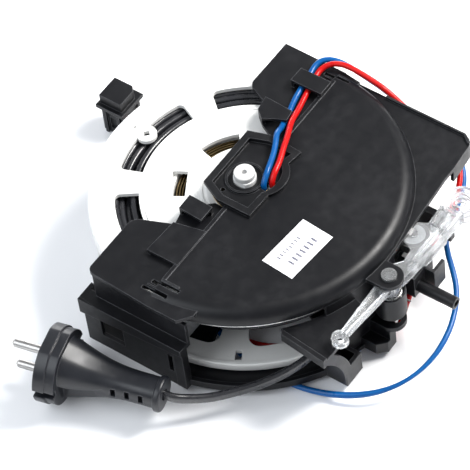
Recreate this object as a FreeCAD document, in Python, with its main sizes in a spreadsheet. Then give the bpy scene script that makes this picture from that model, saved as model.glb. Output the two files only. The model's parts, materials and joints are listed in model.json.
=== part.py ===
import FreeCAD, Part
import Sketcher
import math
import os
from FreeCAD import Matrix, Placement, Rotation, Vector

# Spring driven mains cord reel module: a drum on a fixed axle, a base frame with a top cover,
# a brake lever, two leads with a connector, and the cord with its plug.
# Frame: origin on the drum axis at ground level, +Z up along the drum axis,
# +X along the straight edge of the top cover, -Y towards the brake lever.


class Dimensions:
    """Driving dimensions, readable as attributes."""

    def __init__(self, **values):
        vars(self).update(values)


# Millimetres, angles in degrees; every name becomes a spreadsheet alias.
dim = Dimensions(
    # drum
    drum_radius=85.0, rim_thick=2.4, upper_top=56.0, flange_thick=2.4, rim_drop=10.0,
    lower_face=12.0, core_outer=46.0, core_wall=2.4, cup_outer=42.0, cup_inner=39.6,
    axle_radius=6.25, bearing_radius=6.31,
    win_inner=57.4, win_outer=70.5, win_span=45.7, win_phase=27.8,
    low_win_inner=53.0, low_win_outer=72.5, low_win_span=47.0, low_win_phase=56.4,
    # cover and base
    cover_top=63.7, cover_thick=2.2, dome_radius=90.0, dome_round=8.0,
    floor_low=4.0, floor_thick=2.4, base_radius=95.7, front_radius=92.0,
    guard_outer=90.0, guard_wall=2.0, guard_top=54.3,
    base_left=94.0, base_right=90.0, base_back=43.0, rail_top=38.5, rail_drop=3.0,
    # brake lever, roller and peg
    pivot_x=-10.0, pivot_y=-97.5, pivot_pin_radius=2.05, pivot_hole_radius=2.12,
    ear_radius=7.8, lever_hub_radius=6.2, lever_low=46.0, lever_top=54.0,
    roller_x=22.0, roller_y=-91.5, roller_radius=8.6, roller_hub_radius=6.4,
    roller_pin_radius=2.5, roller_bore_radius=2.56, roller_low=46.4, roller_height=5.8,
    peg_radius=3.4, peg_bore_radius=2.2, peg_bore_depth=15.0, peg_x=7.0, peg_z=34.0,
    peg_root_y=-104.0, peg_tip_y=-127.0,
    # plug, leads and cord
    pin_radius=2.4, pin_stem_radius=1.9, pin_out=19.0, pin_spacing=19.0,
    plug_face_radius=21.5, plug_length=66.0, plug_head_thick=11.5,
    wire_radius=1.6, cord_wide=5.8, cord_high=3.9, coil_inner=46.3,
    # drive spring, label and slip rings
    spring_thick=0.6, spring_height=24.0, spring_low=27.2,
    label_wide=33.5, label_deep=20.0, label_thick=0.2,
    ring_inner_radius=10.5, ring_outer_radius=17.0, ring_wide=3.0,
)

doc = FreeCAD.newDocument("cord_reel")
sheet = doc.addObject("Spreadsheet::Sheet", "dims")
for row, (alias, value) in enumerate(vars(dim).items(), 1):
    sheet.set("A%d" % row, alias)
    sheet.set("B%d" % row, repr(value))
    sheet.setAlias("B%d" % row, alias)
doc.recompute()

PIECES = []
CUTS = []
# gap between the corner of a rounding's square and the arc, as a share of the radius, per axis
ARC_INSET = 0.29289

# --------------------------------------------------------------------------
# outlines: a list is a closed outline whose entries are points (x, y) or
# ("arc", middle point, end point); a tuple made by circle() is a circle
# --------------------------------------------------------------------------


def circle(x, y, radius):
    """Each argument is a number, an alias, or a (number, expression) pair."""
    return (x, y, radius)


def circles(centres, radius):
    return [circle(x, y, radius) for x, y in centres]


def ring(x, y, outer, inner):
    return [circle(x, y, outer), circle(x, y, inner)]


def rect(x0, y0, x1, y1):
    return [(x0, y0), (x1, y0), (x1, y1), (x0, y1)]


def polar(radius, angle):
    turn = math.radians(angle)
    return (radius * math.cos(turn), radius * math.sin(turn))


def turned(points, angle, dx=0.0, dy=0.0):
    """Points turned about the origin, then moved."""
    ux, uy = polar(1.0, angle)
    return [(x * ux - y * uy + dx, x * uy + y * ux + dy) for x, y in points]


def sector(inner, outer, start, end, corner=0.0):
    """Part of a ring between two angles; the outer corners may be rounded."""
    middle = 0.5 * (start + end)
    inner_arc = [polar(inner, end), ("arc", polar(inner, middle), polar(inner, start))]
    if corner <= 0:
        return [polar(inner, start), polar(outer, start),
                ("arc", polar(outer, middle), polar(outer, end))] + inner_arc
    corner_turn = math.degrees(corner / outer)
    inset = ARC_INSET * corner
    inset_turn = math.degrees(inset / outer)
    return [polar(inner, start), polar(outer - corner, start),
            ("arc", polar(outer - inset, start + inset_turn), polar(outer, start + corner_turn)),
            ("arc", polar(outer, middle), polar(outer, end - corner_turn)),
            ("arc", polar(outer - inset, end - inset_turn), polar(outer - corner, end))] + inner_arc


def rounded_rect(width, height, corner):
    x, y = width / 2.0, height / 2.0
    inset = corner * ARC_INSET
    return [(-x + corner, -y), (x - corner, -y),
            ("arc", (x - inset, -y + inset), (x, -y + corner)), (x, y - corner),
            ("arc", (x - inset, y - inset), (x - corner, y)), (-x + corner, y),
            ("arc", (-x + inset, y - inset), (-x, y - corner)), (-x, -y + corner),
            ("arc", (-x + inset, -y + inset), (-x + corner, -y))]


def ear(left_y, right_y):
    """Lug rounded about the lever pivot, with its own y for each rear corner."""
    left, right = dim.pivot_x - dim.ear_radius, dim.pivot_x + dim.ear_radius
    y = dim.pivot_y
    return [(left, y), (left, left_y), (right, right_y), (right, y),
            ("arc", (dim.pivot_x, y - dim.ear_radius), (left, y))]


# --------------------------------------------------------------------------
# sketches and features
# --------------------------------------------------------------------------


def linked(value):
    """The number and the expression, if any, behind a value."""
    if isinstance(value, str):
        return getattr(dim, value), "dims." + value
    return value if isinstance(value, tuple) else (value, None)


def constrain(sketch, *terms, link=None):
    index = sketch.addConstraint(Sketcher.Constraint(*terms))
    if link:
        sketch.setExpression("Constraints[%d]" % index, link)


def draw_circle(sketch, shape):
    (x, x_link), (y, y_link), (radius, radius_link) = map(linked, shape)
    geo = sketch.addGeometry(Part.Circle(Vector(x, y, 0), Vector(0, 0, 1), radius), False)
    constrain(sketch, "Radius", geo, radius, link=radius_link)
    if abs(x) < 1e-9 and abs(y) < 1e-9:
        constrain(sketch, "Coincident", geo, 3, -1, 1)
        return
    for kind, offset, link, axis in (("DistanceX", x, x_link, -2), ("DistanceY", y, y_link, -1)):
        if abs(offset) > 1e-9:
            constrain(sketch, kind, -1, 1, geo, 3, offset, link=link)
        else:
            constrain(sketch, "PointOnObject", geo, 3, axis)


def draw_outline(sketch, entries):
    first = here = Vector(*entries[0], 0)
    lines = []
    for entry in entries[1:]:
        if entry[0] == "arc":
            end = Vector(*entry[2], 0)
            lines.append(Part.Arc(here, Vector(*entry[1], 0), end))
        else:
            end = Vector(*entry, 0)
            lines.append(Part.LineSegment(here, end))
        here = end
    if (here - first).Length > 1e-7:
        lines.append(Part.LineSegment(here, first))
    ids = list(sketch.addGeometry(lines, False))
    for one, other in zip(ids, ids[1:] + ids[:1]):
        # an arc may be stored end to start, so the nearest pair of ends is joined
        pairs = [(a, b) for a in (1, 2) for b in (1, 2)]
        a, b = min(pairs, key=lambda ends: (sketch.getPoint(one, ends[0])
                                            - sketch.getPoint(other, ends[1])).Length)
        constrain(sketch, "Coincident", one, a, other, b)


def new_body(label):
    body = doc.addObject("PartDesign::Body", label)
    body.Label = label
    body.AllowCompound = True
    PIECES.append(body)
    return body


def origin_of(body, role):
    return [item for item in body.Origin.OriginFeatures if item.Role == role][0]


def new_sketch(body, label, offset, plane, shapes):
    level, link = linked(offset)
    sketch = body.newObject("Sketcher::SketchObject", label)
    sketch.AttachmentSupport = [(origin_of(body, plane + "_Plane"), "")]
    sketch.MapMode = "FlatFace"
    sketch.AttachmentOffset = Placement(Vector(0, 0, level), Rotation())
    if link:
        sketch.setExpression("AttachmentOffset.Base.z", link)
    for shape in shapes:
        if isinstance(shape, list):
            draw_outline(sketch, shape)
        else:
            draw_circle(sketch, shape)
    sketch.Visibility = False
    return sketch


def extrude(kind, body, label, start, end, *shapes, sketch=None, plane="XY", length=None):
    """Pad or pocket from start to end, both measured along the plane's normal.

    The XZ plane's normal is -Y. length names the alias that drives the length."""
    level = linked(start)[0]
    feature = body.newObject("PartDesign::" + kind, label)
    feature.Profile = new_sketch(body, sketch or label + "_outline", start, plane, shapes)
    feature.Length = abs(end - level)
    feature.Reversed = (end > level) == (kind == "Pocket")
    if length:
        feature.setExpression("Length", "dims." + length)
    return feature


def pad(*args, **options):
    return extrude("Pad", *args, **options)


def pads(body, *entries):
    """Plain pads in order; each entry is label, start, end, shapes."""
    for entry in entries:
        pad(body, *entry)


def cut(*args, **options):
    feature = extrude("Pocket", *args, **options)
    CUTS.append(feature)
    return feature


def revolve(body, label, points):
    """Full turn about Z of a profile of (radius, z) points."""
    sketch = new_sketch(body, label + "_profile", 0.0, "XZ", [points])
    feature = body.newObject("PartDesign::Revolution", label)
    feature.Profile = sketch
    feature.ReferenceAxis = (sketch, ["V_Axis"])
    feature.Angle = 360.0


def loft(body, label, sketches):
    feature = body.newObject("PartDesign::AdditiveLoft", label)
    feature.Profile = sketches[0]
    feature.Sections = sketches[1:]
    feature.Ruled = False


def polar_pattern(body, feature, count, label):
    doc.recompute()
    pattern = body.newObject("PartDesign::PolarPattern", label)
    pattern.Originals = [feature]
    pattern.Axis = (origin_of(body, "Z_Axis"), [""])
    pattern.Angle = 360.0
    pattern.Occurrences = count
    body.Tip = pattern


def turn_body(body, angle):
    body.Placement = Placement(Vector(0, 0, 0), Rotation(Vector(0, 0, 1), angle))


def add_solid(label, shape):
    piece = doc.addObject("Part::Feature", label)
    piece.Label = label
    piece.Shape = shape
    PIECES.append(piece)


def frame_along(origin, direction):
    """Placement with Z along direction and X as near to upright as possible."""
    z_axis = Vector(direction)
    z_axis.normalize()
    y_axis = z_axis.cross(Vector(0, 0, 1))
    y_axis.normalize()
    x_axis = y_axis.cross(z_axis)
    return Placement(Matrix(x_axis.x, y_axis.x, z_axis.x, origin.x,
                            x_axis.y, y_axis.y, z_axis.y, origin.y,
                            x_axis.z, y_axis.z, z_axis.z, origin.z, 0, 0, 0, 1))


def smooth_curve(points):
    curve = Part.BSplineCurve()
    curve.interpolate([Vector(*point) for point in points])
    return curve, curve.tangent(curve.FirstParameter)[0]


def sweep_round(points, radius):
    """Round strand along a smooth curve; keeps the sweep nearest the expected volume."""
    curve, tangent = smooth_curve(points)
    path = Part.Wire([curve.toShape()])
    section = Part.Wire([Part.Circle(Vector(*points[0]), tangent, radius).toShape()])
    expected = math.pi * radius * radius * curve.length()
    best = None
    for frenet in (False, True):
        # one of the two sweep modes may fail on a tightly bent path
        try:
            shape = path.makePipeShell([section], True, frenet)
        except Exception:
            continue
        error = abs(shape.Volume - expected)
        if shape.isValid() and (best is None or error < abs(best.Volume - expected)):
            best = shape
    return best


# --------------------------------------------------------------------------
# drum
# --------------------------------------------------------------------------
DRUM_TOP = dim.upper_top
DRUM_FLOOR = dim.lower_face
UNDER_TOP_FLANGE = DRUM_TOP - dim.flange_thick
CUP_FOOT = 26.4
LIVE_RADIUS, NEUTRAL_RADIUS = dim.ring_outer_radius, dim.ring_inner_radius
LIVE_ANGLE, NEUTRAL_ANGLE = STRIP_ANGLES = (200.0, 225.0)
RISERS = [polar(LIVE_RADIUS, LIVE_ANGLE), polar(NEUTRAL_RADIUS, NEUTRAL_ANGLE)]
CLAMP_SCREWS = [(27.0, 17.0), (35.0, 17.0)]


def drum_lower_half():
    """Flange, rim, core wall and lower bearing hub."""
    body = new_body("drum_lower_half")
    bore, hub, rim = dim.bearing_radius, 10.0, dim.drum_radius
    rim_in = rim - dim.rim_thick
    core, core_in = dim.core_outer, dim.core_outer - dim.core_wall
    face, under = DRUM_FLOOR, DRUM_FLOOR - dim.flange_thick
    core_top = UNDER_TOP_FLANGE
    revolve(body, "lower_turned", [
        (bore, 8.6), (hub, 8.6), (hub, under), (rim_in, under), (rim_in, 7.4), (rim - 0.6, 7.4),
        (rim, 8.0), (rim, 12.4), (rim - 0.6, 13.0), (rim_in, 13.0), (rim_in, face), (core, face),
        (core, core_top), (core_in, core_top), (core_in, face), (hub, face), (hub, 22.8),
        (bore, 22.8)])
    start, end = face + 0.5, face - 3.5
    half_span = dim.low_win_span / 2
    window = cut(body, "low_window", start, end, sector(
        dim.low_win_inner, dim.low_win_outer, dim.low_win_phase - half_span,
        dim.low_win_phase + half_span, 7.0))
    polar_pattern(body, window, 6, "low_windows")
    cut(body, "flange_slot", start, end, sector(75.0, 81.0, 208.0, 210.6),
        sketch="lead_hole_outline")
    cut(body, "core_floor_holes", start, end,
        *circles([(29.0, 0), (-29.0, 0), (0, 29.0), (0, -29.0)], 5.0),
        sketch="cord_hole_outline")
    cut(body, "core_cord_gap", 23.0, 14.0, rect(40.0, 20.0, 47.0, 28.5),
        sketch="core_gap_outline")


def drum_upper_half():
    """Windowed flange, outer lip, spring cup wall and upper hub."""
    body = new_body("drum_upper_half")
    bore, rim, top, under = dim.bearing_radius, dim.drum_radius, DRUM_TOP, UNDER_TOP_FLANGE
    rim_in, lip = rim - dim.rim_thick, top - dim.rim_drop
    cup_in, cup = dim.cup_inner, dim.cup_outer
    revolve(body, "upper_turned", [
        (bore, 52.0), (9.0, 52.0), (9.0, under), (cup_in, under), (cup_in, CUP_FOOT),
        (cup, CUP_FOOT), (cup, under), (rim_in, under), (rim_in, lip), (rim - 0.8, lip),
        (rim, lip + 0.8), (rim, top - 1.2),
        ("arc", (rim - 0.35, top - 0.35), (rim - 1.2, top)), (bore, top)])
    start, end = top + 0.5, top - 3.5
    half_span = dim.win_span / 2
    window = cut(body, "window", start, end, sector(
        dim.win_inner, dim.win_outer, dim.win_phase - half_span, dim.win_phase + half_span, 3.2))
    polar_pattern(body, window, 6, "windows")
    cut(body, "spring_arc_window", start, end, sector(28.6, 37.4, 41.0, 76.0),
        sketch="spring_window_outline")
    cut(body, "spring_square_window", start, end,
        turned(rect(-8.4995, -4.0588, 8.4995, 4.0588), 29.6, -16.5215, 32.47),
        sketch="spring_square_outline")
    x, y = polar(68.0, 87.7)
    pad(body, "anchor_tab", under, top, circle(x, y, 5.6), sketch="anchor_outline",
        length="flange_thick")
    cut(body, "anchor_holes", start, end,
        [(x + 2.1, y), (x, y + 2.1), (x - 2.1, y), (x, y - 2.1)],
        circle(*polar(76.2, 87.7), 0.75), *circles(RISERS, 1.1), sketch="anchor_hole_outline")
    pad(body, "face_beads", top, top + 0.5, *ring(0, 0, 24.6, 23.4), *ring(0, 0, 55.2, 54.2),
        sketch="bead_outline")
    cut(body, "strip_notches", 53.0, 51.8,
        *[turned(rect(39.0, -2.4, 42.6, 2.4), angle) for angle in STRIP_ANGLES],
        sketch="strip_notch_outline")


def spring_cup_lid():
    body = new_body("spring_cup_lid")
    low = 24.2
    revolve(body, "lid_turned", [(11.0, low), (43.2, low), (43.2, 25.4), (42.4, CUP_FOOT),
                                 (11.0, CUP_FOOT)])
    pad(body, "lid_rib", low, low - 1.2, *ring(0, 0, 30.0, 28.4), sketch="lid_ribs_outline")
    cut(body, "lid_notches", 27.0, 23.0,
        *[turned(rect(41.6, -2.8, 44.0, 2.8), angle) for angle in STRIP_ANGLES],
        sketch="lid_notch_outline")


def spiral_spring():
    """Flat strip wound in half circles between the fixed arbor and the cup wall."""
    half_thick = dim.spring_thick / 2
    first_radius, last_radius, halves = 10.1, 38.7, 30

    def spiral_radius(step):
        return first_radius + (last_radius - first_radius) * ((step / float(halves)) ** 0.8)

    def half_turn(step, offset):
        """Half circle of the strip, its face shifted outwards by offset."""
        side = 1.0 if step % 2 == 0 else -1.0
        x0, x1 = side * spiral_radius(step), -side * spiral_radius(step + 1)
        centre = 0.5 * (x0 + x1)
        reach = side * (0.5 * abs(x0 - x1) + offset)
        return Part.Arc(Vector(centre + reach, 0, 0), Vector(centre, reach, 0),
                        Vector(centre - reach, 0, 0)).toShape()

    inner = [half_turn(step, -half_thick) for step in range(halves)]
    outer = [half_turn(step, half_thick) for step in range(halves)]
    outer_end = Part.makeLine(inner[-1].Vertexes[-1].Point, outer[-1].Vertexes[-1].Point)
    inner_end = Part.makeLine(outer[0].Vertexes[0].Point, inner[0].Vertexes[0].Point)
    strip = Part.Face(Part.Wire(inner + [outer_end] + outer[::-1] + [inner_end]))
    spring = strip.extrude(Vector(0, 0, dim.spring_height))
    tail = Part.makeBox(3.3, dim.spring_thick, dim.spring_height, Vector(6.9, -half_thick, 0))
    spring = spring.fuse(tail).removeSplitter()
    spring.translate(Vector(0, 0, dim.spring_low))
    add_solid("spiral_spring", spring.Solids[0] if len(spring.Solids) == 1 else spring)


def slip_ring_carrier():
    body = new_body("slip_ring_carrier")
    face, groove, bore = DRUM_TOP + 1.8, DRUM_TOP + 1.0, 6.9
    profile = [(bore, DRUM_TOP), (21.4, DRUM_TOP), (21.4, face)]
    for radius in (LIVE_RADIUS, NEUTRAL_RADIUS):
        outer, inner = radius + dim.ring_wide / 2, radius - dim.ring_wide / 2
        profile += [(outer, face), (outer, groove), (inner, groove), (inner, face)]
    revolve(body, "carrier_turned", profile + [(bore, face)])
    cut(body, "riser_holes", DRUM_TOP + 1.5, DRUM_TOP - 1.5, *circles(RISERS, 0.9))


def slip_ring(label, alias):
    body = new_body(label)
    radius, half_wide = getattr(dim, alias), dim.ring_wide / 2
    pad(body, label + "_pad", (DRUM_TOP + 1.0, "dims.upper_top + 1.0"), DRUM_TOP + 2.2,
        *ring(0, 0, (radius + half_wide, "dims.%s + dims.ring_wide / 2" % alias),
              (radius - half_wide, "dims.%s - dims.ring_wide / 2" % alias)),
        sketch=label + "_outline")


def bus_strip(label, radius, angle):
    """Conductor from a slip ring over the spring cup and down its wall."""
    body = new_body(label)
    outer, half_wide = 42.9, 1.7
    pad(body, label + "_flat", 52.3, 52.8, rect(radius - 1.3, -half_wide, outer, half_wide),
        sketch=label + "_radial")
    pad(body, label + "_leg", 15.0, 52.6, rect(outer - 0.45, -half_wide, outer, half_wide),
        sketch=label + "_down")
    pad(body, label + "_post", 52.5, DRUM_TOP + 1.0, circle(radius, 0, 0.8),
        sketch=label + "_riser")
    turn_body(body, angle)


def cord_winding():
    """Cord wound on the core: stacked turns with a rounded outer face."""
    body = new_body("cord_winding")
    low, high = DRUM_FLOOR + 0.4, UNDER_TOP_FLANGE - 0.5
    # radius of the valleys between the turns, from the bottom up
    valleys = [62.0, 65.5, 67.0, 67.6, 68.0, 69.6, 72.0, 71.4]
    rows = len(valleys) - 1
    levels = [low + (high - low) * k / rows for k in range(rows + 1)]
    profile = [(dim.coil_inner, low), (valleys[0], low)]
    for k in range(rows):
        bulge = (0.5 * (valleys[k] + valleys[k + 1]) + 1.1, 0.5 * (levels[k] + levels[k + 1]))
        profile.append(("arc", bulge, (valleys[k + 1], levels[k + 1])))
    revolve(body, "coil_turned", profile + [(dim.coil_inner, high)])


def cord_clamp():
    """Bar that holds the inner end of the cord in the core."""
    body = new_body("cord_clamp")
    start = DRUM_FLOOR + 5.2
    pad(body, "clamp_bar", DRUM_FLOOR, DRUM_FLOOR + 5.0, rect(24.0, 14.0, 38.0, 20.0),
        sketch="clamp_outline")
    cut(body, "clamp_holes", start, start - 6.0, *circles(CLAMP_SCREWS, 1.3))
    cut(body, "clamp_groove", start, start - 1.6, rect(29.4, 13.0, 32.6, 21.0))


def clamp_screws():
    body = new_body("clamp_screws")
    seat = DRUM_FLOOR + 5.0
    pad(body, "clamp_heads", seat, seat + 1.6, *circles(CLAMP_SCREWS, 2.3),
        sketch="clamp_screw_heads")
    pad(body, "clamp_shanks", seat, seat - 4.9, *circles(CLAMP_SCREWS, 1.25),
        sketch="clamp_screw_shanks")


# --------------------------------------------------------------------------
# fixed axle
# --------------------------------------------------------------------------
AXLE_SCREWS = [polar(12.4, angle) for angle in (30.0, 150.0, 270.0)]
SCREW_SEAT = 8.2
AXLE_TOP = 66.4


def centre_axle():
    body = new_body("centre_axle")
    radius = dim.axle_radius
    revolve(body, "axle_turned", [
        (0, 0), (7.1, 0), (7.1, 6.4), (16.0, 6.4), (16.0, 7.6), (15.4, SCREW_SEAT),
        (9.0, SCREW_SEAT), (9.0, 8.35), (radius, 8.35), (radius, 65.8), (radius - 0.6, AXLE_TOP),
        (3.2, AXLE_TOP), (3.2, 60.0), (0, 60.0)])
    cut(body, "axle_flat", 67.0, 26.5, rect(-8.0, -7.0, -5.2, 7.0))
    cut(body, "axle_holes", 9.0, 5.0, *circles(AXLE_SCREWS, 1.6), sketch="axle_screw_holes")


def axle_screws():
    body = new_body("axle_screws")
    pad(body, "heads", SCREW_SEAT, SCREW_SEAT + 1.1, *circles(AXLE_SCREWS, 2.2),
        sketch="axle_screw_heads")
    pad(body, "shanks", SCREW_SEAT, SCREW_SEAT - 6.9, *circles(AXLE_SCREWS, 1.45),
        sketch="axle_screw_shanks")
    cut(body, "slots", 9.4, 8.7,
        *[rect(x - 1.5, y - 0.3, x + 1.5, y + 0.3) for x, y in AXLE_SCREWS],
        sketch="axle_screw_slots")


def spring_arbor():
    """Sleeve with a flatted bore and a slot for the tail of the spring."""
    body = new_body("spring_arbor")
    pad(body, "arbor_pad", 26.8, 51.6, circle(0, 0, 9.0), sketch="arbor_outline")
    bore, flat = 6.3, 5.24
    half_flat = math.sqrt(bore * bore - flat * flat)
    cut(body, "arbor_bore", 52.0, 26.0,
        [(-flat, half_flat), (-flat, -half_flat), ("arc", (bore, 0), (-flat, half_flat))])
    cut(body, "arbor_slot", 52.0, 26.0, rect(6.6, -0.7, 9.6, 0.7))


def axle_cap():
    body = new_body("axle_cap")
    revolve(body, "cap_turned", [
        (0, AXLE_TOP), (5.8, AXLE_TOP), (5.8, 68.6), ("arc", (5.5, 69.3), (4.8, 69.5)),
        (1.5, 69.5), (1.2, 68.7), (0, 68.7)])
    pad(body, "cap_stem", AXLE_TOP, AXLE_TOP - 5.6, circle(0, 0, 3.1))


# --------------------------------------------------------------------------
# base frame
# --------------------------------------------------------------------------
FLOOR = dim.floor_low
FLOOR_TOP = FLOOR + dim.floor_thick
LEFT, RIGHT, BACK = -dim.base_left, dim.base_right, dim.base_back
WALL = 2.2
RAIL = dim.rail_top
GUARD_TOP = dim.guard_top
PIVOT = ("pivot_x", "pivot_y")
ROLLER = ("roller_x", "roller_y")


def base_floor(body):
    base, front = dim.base_radius, dim.front_radius
    pad(body, "floor", "floor_low", FLOOR_TOP,
        [(LEFT, BACK), (LEFT, -math.sqrt(base * base - LEFT * LEFT)),
         ("arc", polar(base, 215.0), polar(base, 240.0)), (-50.0, -95.0), (-36.0, -95.0),
         polar(front, 252.0),
         ("arc", polar(front, 300.0), (RIGHT, -math.sqrt(front * front - RIGHT * RIGHT))),
         (RIGHT, BACK)],
        circle(0, 0, 7.2),
        *[sector(34.0, 80.0, *angles) for angles in ((196.0, 246.0), (254.0, 300.0),
                                                     (308.0, 345.0))],
        rect(-80.0, -6.0, -34.0, 34.0), rect(34.0, -6.0, 78.0, 34.0),
        rect(-24.0, 20.0, 24.0, 35.0), length="floor_thick")


def base_left_side(body):
    pads(body,
         ("left_wall", FLOOR, 37.0, rect(LEFT, -20.0, LEFT + WALL, BACK)),
         ("left_rail", RAIL - dim.rail_drop, RAIL,
          [(-97.0, -24.0), (-88.2, -24.0), (-88.2, BACK), (-95.0, BACK), (-97.0, 30.0)]),
         ("left_upper_wall", RAIL, 59.2, rect(-90.2, -1.2, -88.2, BACK - 7.5)),
         ("left_front_wall", RAIL, 54.2, rect(-90.2, -24.0, -88.2, -1.2)))
    pad(body, "rail_lip", -97.0, -95.2,
        [(BACK, 38.4), (-24.0, 38.4), (-24.0, 34.0), (BACK, 27.0)], plane="YZ")
    pads(body,
         ("left_post", FLOOR, RAIL, rect(-96.2, -24.0, -91.4, -18.0)),
         ("rear_left_pier", FLOOR_TOP, RAIL, rect(LEFT, BACK - WALL, -84.5, BACK)))


def base_guard(body):
    """Wall around the front of the drum, and the right side."""
    outer = dim.guard_outer
    inner = outer - dim.guard_wall
    pad(body, "guard_wall", FLOOR, GUARD_TOP, sector(inner, outer, 242.0, 341.0),
        sketch="guard_outline")
    cut(body, "roller_gap", 55.0, 41.5, sector(inner - 3.0, outer + 3.0, 273.5, 294.0),
        sketch="guard_gap_outline")
    cut(body, "lead_gap", 16.0, 8.0, sector(inner - 3.0, outer + 3.0, 262.0, 270.0),
        sketch="guard_low_gap")
    pads(body,
         ("right_wall", FLOOR, GUARD_TOP, rect(inner, -26.0, RIGHT, BACK - 7.5)),
         ("right_bridge", FLOOR, GUARD_TOP,
          [polar(88.2, 340.6), polar(outer, 340.6), (RIGHT, -26.0), (inner, -26.0)]),
         ("rear_right_pier", FLOOR_TOP, RAIL, rect(80.0, BACK - WALL, RIGHT, BACK)),
         ("right_rear_wall", FLOOR_TOP, RAIL, rect(inner, BACK - 8.0, RIGHT, BACK)))


def base_cord_mouth(body):
    """Corner block beside the cord mouth, with the ledge above it."""
    pad(body, "foot_block", FLOOR, FLOOR + 14.0, rect(-50.0, -95.0, -36.0, -80.0))
    cut(body, "foot_recess", 20.0, 8.0, rect(-47.6, -92.6, -38.4, -83.0),
        sketch="foot_block_recess")
    pads(body,
         ("ledge", 44.5, 46.9,
          [polar(88.6, 226.0), (-67.0, -95.5), (-36.0, -95.5), (-27.0, -92.5),
           polar(88.6, 253.5), ("arc", polar(88.6, 240.0), polar(88.6, 226.0))]),
         ("ledge_lip", 42.5, 48.6,
          [polar(90.4, 226.4), polar(93.2, 225.6), (-68.4, -95.5), (-65.6, -95.5)]))
    # station, z, outline
    stations = [("top", 44.6, rect(-68.0, -95.5, -60.0, -88.5)),
                ("mid", 25.0, rect(-54.5, -95.3, -48.0, -84.0)),
                ("low", 5.0, rect(-50.5, -94.5, -44.0, -82.5))]
    loft(body, "mouth_post", [new_sketch(body, "mouth_post_" + name, z, "XY", [outline])
                              for name, z, outline in stations])
    pads(body,
         ("mouth_sill", FLOOR_TOP - 0.2, FLOOR_TOP + 2.6,
          sector(93.3, dim.base_radius, 193.0, 239.0)),
         ("mouth_inner", FLOOR, 44.6,
          [polar(88.0, 242.0), polar(90.0, 242.0), (-47.0, -86.0), (-49.5, -86.0),
           (-49.5, -84.5)]))


def base_brackets(body):
    """Pivot cup, lugs, webs and peg on the lever side."""
    pads(body,
         ("pivot_floor", 28.6, 31.0, *ring(*PIVOT, 8.4, "pivot_hole_radius")),
         ("pivot_cup", 30.9, 44.6, *ring(*PIVOT, 8.4, 7.1)))
    cut(body, "pivot_cup_slot", 35.2, 32.4,
        rect(dim.pivot_x + 4.9, dim.pivot_y - 10.0, dim.pivot_x + 6.9, dim.pivot_y - 2.0))
    root = dim.peg_root_y
    pads(body,
         ("pivot_web", 20.8, 28.7, rect(-11.2, -92.8, -8.8, -88.6)),
         ("lower_lug", 18.0, 21.0, ear(-86.6, -88.0), circle("pivot_x", -100.6, 2.1)),
         ("bracket_web_a", 8.0, 18.0,
          [(-17.8, -86.6), (-17.8, -92.6), (-15.8, -92.6), (-15.8, -87.0)]),
         ("bracket_web_b", 10.0, 18.0,
          [(-4.2, -88.0), (-4.2, -92.6), (-2.2, -92.6), (-2.2, -88.0)]),
         ("foot_lug", FLOOR, 12.0,
          [(-24.6, -86.0), (-24.6, -96.4), (-20.0, -101.0), (-17.6, -101.0), (-17.6, -86.4)]),
         ("foot_lug_tall", FLOOR, 18.2,
          [(-17.8, -86.4), (-17.8, -101.0), (-12.6, -101.0), (-12.6, -87.0)]),
         ("peg_block", 28.0, 43.4,
          [(2.6, -89.0), (2.6, root), (12.4, root), (12.4, -101.4), (24.0, -101.4),
           (24.0, -98.8), (12.4, -98.8), (12.4, -88.4)]),
         ("peg_wing", 28.0, 43.4,
          [(12.0, -99.0), (14.0, -99.0), (14.0, -108.6), (22.0, -108.6), (22.0, -110.6),
           (12.0, -110.6)]),
         ("stop_post", 30.0, 46.5,
          [(40.0, -79.6), (46.0, -76.2), (46.0, -101.0), (42.0, -101.0), (42.0, -84.0)]))
    tip = -dim.peg_tip_y
    pad(body, "peg", 103.0, tip, circle("peg_x", "peg_z", "peg_radius"), plane="XZ")
    cut(body, "peg_bore", tip + 0.2, tip - dim.peg_bore_depth,
        circle("peg_x", "peg_z", "peg_bore_radius"), plane="XZ")


def base_underside(body):
    """Ribs under the floor and the axle boss."""
    top = FLOOR + 0.2
    pad(body, "under_ring_front", 0.0, top, sector(89.0, 91.4, 268.2, 341.0),
        sketch="under_ring_outline")
    for label, outline in (
            ("under_left", rect(LEFT, -16.0, LEFT + WALL, BACK)),
            ("under_right", rect(RIGHT - WALL, -26.0, RIGHT, BACK)),
            ("under_rear_a", rect(LEFT, BACK - WALL, -34.0, BACK)),
            ("under_rear_b", rect(12.0, BACK - WALL, RIGHT, BACK)),
            ("under_rib_c", rect(30.0, -9.0, 89.0, -7.0)),
            ("under_rib_d", rect(-1.0, -90.0, 1.0, -28.0))):
        pad(body, label, 0.0, top, outline)
    pad(body, "axle_boss", 0.0, top, *ring(0, 0, 17.0, 7.2), *circles(AXLE_SCREWS, 1.45),
        sketch="boss_outline")
    cut(body, "boss_holes", 7.0, 3.8, *circles(AXLE_SCREWS, 1.45), sketch="boss_screw_holes")


def base_frame():
    body = new_body("base_frame")
    base_floor(body)
    base_left_side(body)
    base_guard(body)
    base_cord_mouth(body)
    base_brackets(body)
    base_underside(body)
    # openings along X through the left wall only
    cut(body, "left_openings_cut", -100.0, -90.0, rect(17.5, 10.0, 32.5, 25.0),
        rect(-15.0, 11.0, -12.0, 25.0), sketch="left_openings", plane="YZ")


# --------------------------------------------------------------------------
# top cover
# --------------------------------------------------------------------------
COVER_TOP = dim.cover_top
COVER_THICK = dim.cover_thick
STRIP_TOP = COVER_TOP - COVER_THICK
STRIP_LOW = STRIP_TOP - COVER_THICK


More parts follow.
